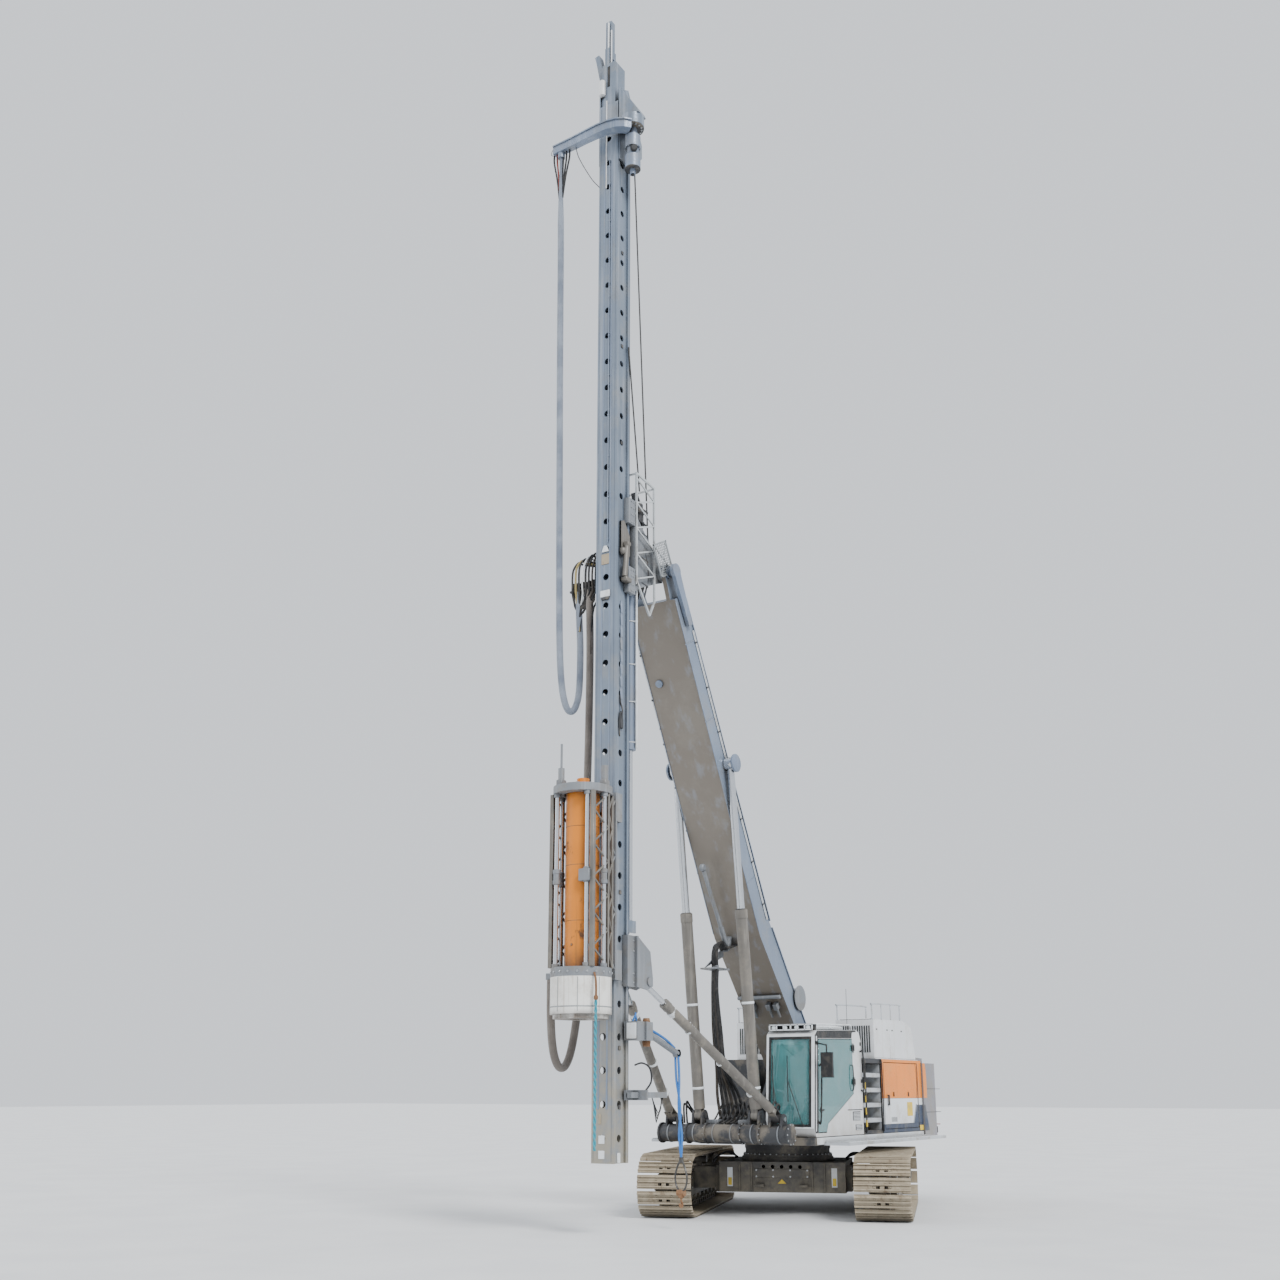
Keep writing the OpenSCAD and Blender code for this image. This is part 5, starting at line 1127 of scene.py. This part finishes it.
for side in bits.sides():
    for z in (9400, 9500, 9640, 9740, 10540, 10660, 10780, 10880):
        for f in (5360, 5420):
            bits.bolt((f, 242, z), (0, 1, 0), 13, 10)
    for z in (3450, 3580, 3900, 4050):
        bits.bolt((5340, 242, z), (0, 1, 0), 12, 9)
clips = Piece("lift_clamps", "sledge", "band")
LIFT_F = 5075
for z in (7060, 7700, 8300, 9000):
    clips.tube([(LIFT_F + 90 * cos(t), 90 * sin(t), z + 20) for t in (0.4 * k for k in range(17))], 8, 6, 1)
    clips.box(about(LIFT_F, 20), (84, 132), (z + 4, z + 36), 4)
clips.tube([(LIFT_F, 118, z) for z in (6990, 7700, 8400, 9100, 9700)], 18, 10, 3)

# Leader: seam, rail edges, lamp, plates, strips, brackets and foot
face = Piece("leader_strips", "leader", "blue")
for side in face.sides():
    face.box((5768, 5772), (58, 84), (1700, 17000), 1)
face.box((5545, 5590), (150, 160), (7420, 9200), 3)
for k in range(9):
    face.box((5541, 5597), (156, 168), (7440 + 195 * k, 7600 + 195 * k), 6)
face.rod((5782, 36, 10100), (5782, 36, 16900), 8, 8)
for k in range(10):
    face.box((5766, 5790), (22, 50), (10150 + 700 * k, 10174 + 700 * k), 2)
seamline = Piece("leader_seams", "leader", "navy")
for side in seamline.sides():
    seamline.box((5764, 5769), (146, 150), (1000, 17980), 0)
    seamline.box((5383, 5392), (180, 183), (1000, 17980), 0)
lamps = Piece("leader_plates", "leader", "band")
lamps.box((5768, 5800), (-84, 84), (9222, 9330), 8)
lamps.prism([(-66, 9960), (60, 9960), (20, 10060), (-30, 10060)], "cross", 5768, 5790, 3)
for z in (1040, 1240):
    lamps.box((5766, 5774), (-60, 40), (z, z + 110), 3)
lamps.box((5545, 5620), (150, 157), (985, 1120), 3)
tan = Piece("leader_tan_plates", "leader", "shoe")
tan.box((5768, 5776), (-80, 60), (9760, 9930), 3)
tan.box((5768, 5774), (-60, -20), (1500, 1640), 2)
under = Piece("leader_fittings", "leader", "dark")
under.box((5768, 5797), (-66, 70), (9180, 9222), 5)
under.box((5542, 5618), (150, 186), (7180, 7330), 6)
for k in range(3):
    under.rod((5556 + 24 * k, 170, 7330), (5556 + 24 * k, 170, 7366), 11, 6, 2)
under.tube([(5556, 170, 7366), (5560, 174, 7480), (5600, 174, 7560), (5604, 166, 7640), (5600, 156, 7700)], 11)
under.tube([(5580, 170, 7366), (5580, 176, 7420), (5626, 172, 7380), (5628, 168, 7120), (5600, 156, 7060)], 10)
for z in (1700, 2500, 4700, 6100, 11800, 13500, 15200):
    under.box((5548, 5604), (150, 166), (z, z + 60), 5)
for k, (r, look) in enumerate(((16, "rubber"), (18, "rubber_tan"), (17, "rubber"), (14, "band"), (18, "rubber"),
                               (16, "rubber"), (15, "rubber_brown"), (15, "rubber"))):
    hose = Piece("bracket_hose_%d" % k, "leader", look, "hose_rubber")
    b = -700 + 62 * k
    hose.tube([(5596, -600 + 10 * (k - 4), 9400 - 30 * k), (5600, (b - 600) / 2 - 20, 9250), (5640, b, 9420),
               (5655, b, 9560), (5640, b, 9830 + 22 * (k % 3)),
               (5560, b + 50, 9990 + 18 * k), (5500, b + 110, 9960 + 14 * k), (5470, -160, 9840 + 16 * k)], r)
    hose = Piece("bracket_drop_%d" % k, "leader", look, "hose_rubber")
    end = (-620, 9100) if k < 5 else (-424, 8700)
    hose.tube([(5600, b, 9500), (5600, b + 4, 9300), (5590, (b + end[0]) / 2, 9200 - 60 * (k % 3)),
               (5570, end[0] + 22 * cos(k), end[1]), (5560, end[0] + 16 * cos(k), end[1] - 260)], r)

# Head of the leader: drive bolts, side port, plates, pipes and the hoses of the arm
DRIVE = (5650, 400)
head = Piece("head_ring", "leader", "dark")
head.disc((*DRIVE, 17434), (*DRIVE, 17442), 186, 40)
head.disc((*DRIVE, 16664), (*DRIVE, 16672), 132, 32)
shine = Piece("head_bolts", "leader", "bright")
shine.bolts((*DRIVE, 17434), (0, 0, -1), 150, 14, 13, 12)
shine.bolts((*DRIVE, 17062), (0, 0, -1), 118, 10, 9, 8)
for side in shine.sides():
    shine.bolt((5236, 204, 17460), (0, 1, 0), 34, 16)
port = Piece("head_ports", "leader", "black")
port.turned((5740, 480, 16990), (5765, 502, 16985), [(0, 62), (20, 62), (34, 44)], 24)
port.disc((*DRIVE, 16560), (*DRIVE, 16574), 30, 18)
port.disc((5738, -145, 18250), (5743, -145, 18250), 34, 20)
port.box((5724, 5727), (-62, -8), (18412, 18808), 0)
for k in range(3):
    port.tube([(5700, 210, 17500), (5800, 330 - 12 * k, 17470), (5900, 215 - 12 * k, 17465), (5940, 40, 17464),
               (5945, -120 - 10 * k, 17464), (5945, -330, 17466), (5935, -620, 17462)], 17)
canister = Piece("head_canister", "leader", "white")
canister.turned((5752, -145, 18240), (5752, -145, 18560), [(0, 44), (10, 58), (290, 58), (318, 30)], 24)
canister.rod((5772, -40, 16400), (5772, -40, 18100), 11, 8)
canister.rod((5640, -40, 18850), (5640, -40, 19620), 13, 8)
canister.rod((5655, -90, 18700), (5655, -90, 19780), 16, 10)
plate = Piece("head_plate", "leader", "blue")
plate.prism([(-158, 17290), (-250, 16960), (-215, 16700), (-158, 16420), (-150, 16420), (-150, 17290)], "cross",
            5560, 5585, 4)
plate.box((5700, 5730), (-140, 140), (17000, 17180), 5)
for z in (18120, 18360, 18900, 19060):
    plate.box((5425, 5440), (-178, -160), (z, z + 60), 3)
    plate.rod((5560, -52, z), (5560, -24, z), 22, 12)
tip = Piece("arm_tip", "leader", "mesh")
tip.box((5884, 5996), (-985, -690), (17296, 17440), 12)
tip.rod((5940, -640, 17330), (5940, -640, 17500), 26, 12)
tip.tube([(5900, -560, 17440), (5900, -590, 17540), (5900, -660, 17560), (5900, -720, 17450)], 10)
red = Piece("arm_red_hose", "leader", "rubber_red")
red.tube([(5950, -560, 17452), (5950, -650, 17462), (5950, -800, 17462), (5950, -900, 17455)], 16, 8, 4)
for k, look in enumerate(("rubber", "rubber_red", "rubber_tan", "rubber", "rubber", "rubber")):
    hose = Piece("arm_hose_%d" % k, "leader", look)
    b = -985 + 62 * k
    hose.tube([(5940, b, 17300), (5940, b, 17150), (5940, b + (-838 - b) * 0.45, 16800),
               (5938, -838 + 13 * (k - 2.5), 16420)], 15)
wires = Piece("arm_wires", "leader", "black")
wires.tube([(5940, -560, 17440), (5930, -500, 17100), (5800, -330, 16700), (5700, -240, 16560),
            (5580, -190, 16480)], 7, 6, 6)
wires.tube([(5940, -980, 17400), (5940, -1030, 17420), (5940, -1050, 17340), (5940, -990, 17300)], 5, 6, 6)

# Hammer: bright guide rods with couplers, posts, fittings, ram seams and the lifting rope
HAMMER_F, HAMMER_Z = 6320, (3592, 6036)


def round_hammer(t, r):
    return HAMMER_F + r * sin(t), r * cos(t)


guides = Piece("hammer_guides", "hammer", "chrome")
coupler = Piece("hammer_couplers", "hammer", "grey")
for deg in (0, 45, 135, 180, 225, 315):
    f, b = round_hammer(radians(deg), 365)
    guides.rod((f, b, HAMMER_Z[0]), (f, b, HAMMER_Z[1]), 33.5, 20, 2)
    coupler.turned((f, b, 4740), (f, b, 4960), [(0, 40), (10, 54), (60, 54), (70, 46), (150, 46), (160, 54),
                                                (210, 54), (220, 40)], 20)
    for z in (3592, 5990):
        coupler.disc((f, b, z), (f, b, z + 50), 52, 20)
coupler.box((6560, 6640), (150, 330), (4760, 4930), 8)
coupler.box((6040, 6110), (-420, -360), HAMMER_Z, 5)
for deg in range(0, 360, 45):
    f, b = round_hammer(radians(deg + 22.5), 392)
    coupler.box(about(f, 22), about(b, 22), (6036, 6158), 4)
for f, b, z in ((6580, -200, 6150), (6260, 330, 6150)):
    coupler.box(about(f, 60), about(b, 50), (z, z + 90), 8)
    coupler.turned((f, b, z + 80), (f, b, z + 220), [(0, 44), (60, 44), (70, 30), (140, 26)], 18)
post = Piece("hammer_posts", "hammer", "dark")
for f, b in ((6560, -330), (6140, -390), (6060, 300)):
    post.box(about(f, 18), about(b, 14), HAMMER_Z, 3)
    for k in range(9):
        post.turned((f, b + 14, 3760 + 260 * k), (f, b + 34, 3760 + 260 * k), [(0, 20), (14, 20), (20, 12)], 10)
for k in range(3):
    post.tube([(6060, -120 + 60 * k, 3620), (6030, -150 + 60 * k, 4300), (6050, -110 + 60 * k, 5100),
               (6020, -140 + 60 * k, 5960)], 16)
truss = Piece("hammer_truss", "hammer", "cylinder")
TRUSS = ((6570, 345), (6250, 388), (6062, 330))
for side in truss.sides():
    for k, (f, b) in enumerate(TRUSS):
        w = (30, 18, 18)[k]
        truss.box(about(f, w), (b - w, b + w), (3590, 6040), 4)
    for k in range(2):
        (f0, b0), (f1, b1) = TRUSS[k], TRUSS[k + 1]
        for i in range(10):
            z = 3620 + 240 * i
            if i % 2:
                truss.rod((f0, b0, z), (f1, b1, z + 240), 15, 8, 1)
            else:
                truss.rod((f1, b1, z), (f0, b0, z + 240), 15, 8, 1)
seam = Piece("ram_seams", "hammer", "rust")
for z in (4230, 5010, 5560):
    seam.disc((HAMMER_F, 0, z), (HAMMER_F, 0, z + 7), 241.5, 40)
for t in turns(6):
    seam.bolt((HAMMER_F + 240 * cos(t), 240 * sin(t), 3900), (cos(t), sin(t), 0), 14, 10)
weld = Piece("cap_welds", "hammer", "mesh")
for deg in (20, 62, 104, 150, 200, 250, 300, 340):
    f, b = round_hammer(radians(deg), 425)
    weld.rod((f, b, 2990), (f, b, 3450), 5, 6, 1)
weld.disc((HAMMER_F, 0, 3050), (HAMMER_F, 0, 3064), 429, 56)
collar = Piece("cap_bolts", "hammer", "bright")
for t in turns(20, 0.5):
    collar.bolt((*round_hammer(t, 426), 3525), (sin(t), cos(t), 0), 13, 9)
rope_end = Piece("lifting_rope", "hammer", "teal")
for k in range(2):
    rope_end.tube([(6606 - 1.2 * i + 11 * cos(i * 1.1 + pi * k), 440 - 0.9 * i + 11 * sin(i * 1.1 + pi * k),
                    3160 - 33.5 * i) for i in range(60)], 12, 7, 2)
hook = Piece("rope_hook", "hammer", "rust")
hook.tube([(6560, 380, 3500), (6600, 430, 3420), (6612, 446, 3300), (6606, 442, 3180)], 16)
hook.turned((6606, 441, 3130), (6606, 441, 3200), [(0, 20), (20, 30), (50, 30), (70, 16)], 14)

# Pile guide: plate, rusty end, hoses, blue sling and the steel cable loop
guide = Piece("guide_plates", "sledge", "band")
guide.box((5512, 5524), (236, 398), (2660, 2880), 6)
rusty = Piece("guide_hinge", "sledge", "rust")
rusty.turned((5090, 300, 2560), (5090, 300, 2960), [(0, 50), (60, 62), (340, 62), (400, 46)], 20)
rusty.box((5060, 5140), (240, 360), (2700, 2830), 12)
rusty.disc((4170, 220, 2487), (4170, 300, 2487), 58, 20)
arm = Piece("guide_hoses", "sledge", "sling")
arm.tube([(5100, 300, 2830), (4800, 292, 2756), (4500, 280, 2668), (4250, 268, 2560)], 20)
arm.tube([(5460, 300, 2900), (5430, 330, 2990), (5380, 300, 3010), (5330, 280, 2900)], 14)
for k in (-1, 1):
    arm.tube([(4170, 260 + 26 * k, 2450), (4160, 270 + 24 * k, 2100), (4150, 290 - 14 * k, 1700),
              (4145, 300 + 22 * k, 1300), (4140, 306 - 8 * k, 960)], 19, 8, 6)
cable = Piece("cable_loop", "sledge", "rope")
cable.tube([(4136, 298, 985), (4098, 210, 860), (4084, 170, 720), (4104, 210, 590), (4140, 302, 530),
            (4176, 394, 590), (4196, 434, 720), (4182, 394, 860), (4144, 314, 985)], 14, 8, 6)
cable.disc((4140, 306, 930), (4140, 306, 1010), 34, 14)
block = Piece("cable_hook", "sledge", "rust")
block.box((4104, 4176), (262, 342), (440, 560), 16)
block.disc((4140, 240, 512), (4140, 364, 512), 44, 18)
block.tube([(4140, 302, 446), (4140, 302, 400), (4110, 302, 360), (4130, 302, 316), (4172, 302, 330),
            (4182, 302, 372)], 17)
wire = Piece("beam_wires", "sledge", "black")
for k in range(4):
    wire.tube([(4600, 250 + 10 * k, 1850), (4640 + 30 * k, 262, 1700 - 40 * k), (4720 + 20 * k, 270, 1640 - 40 * k),
               (4800 + 10 * k, 262, 1740), (4860, 252, 1850)], 7, 6, 5)
wire.tube([(5340, 262, 2300), (5200, 300, 2330), (5000, 300, 2260), (4960, 300, 2080), (5100, 290, 1950)], 13)

# Winch gear and ropes along the boom
drum = Piece("winch_rope", "upper", "rope")
for k in range(22):
    drum.turned((-1250, -276 + 25 * k, 1565), (-1250, -254 + 25 * k, 1565),
                [(0, 188), (6, 197), (16, 197), (22, 188)], 30)
for k, b in enumerate((-60, 110)):
    line = Piece("boom_rope_%d" % k, None, "rope")
    line.tube([(-1250, b, 1770), (-900, b, 2150), (-640, b, 2420),
               *(lower_boom(s, 300, b) for s in (500, 1400, 2400, 3000)),
               *(upper_boom(s, 300, b) for s in (400, 1600, 2800, 4000, 5200, 5700))], 12, 7, 2)
    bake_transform(line.done(), "upper", "boom", start=tuple(P(-900, b, 2150)), end=tuple(P(300, b, 3600)))

while Piece.waiting:
    Piece.waiting[0].done()

# Lights, floor and background
floor_mesh = bpy.data.meshes.new("floor")
floor_mesh.from_pydata([(-150, -150, -0.002), (150, -150, -0.002), (150, 150, -0.002), (-150, 150, -0.002)], [],
                       [(0, 1, 2, 3)])
floor = bpy.data.objects.new("floor", floor_mesh)
show(floor)
ground = Shader("floor_pale")
ground.set("Base Color", ground.mix(ground.spread(ground.noise(0.7, 4), 0.3, 0.7), srgb("#d9dadb"),
                                    srgb("#dfe0e0")))
ground.set("Roughness", 0.9)
floor_mesh.materials.append(ground.mat)

world = bpy.data.worlds.new("studio")
bpy.context.scene.world = world
world.use_nodes = True
sky = world.node_tree.nodes["Background"]
sky.inputs[0].default_value = (0.87, 0.91, 0.97, 1)
sky.inputs[1].default_value = 1.15

for name, energy, size, euler in (("key", 3.0, 0.30, (48, 0, 62)), ("fill", 0.9, 0.9, (62, 0, -70))):
    light = bpy.data.lights.new(name, "SUN")
    light.energy = energy
    light.angle = size
    lamp = bpy.data.objects.new(name, light)
    lamp.rotation_euler = tuple(radians(a) for a in euler)
    show(lamp)
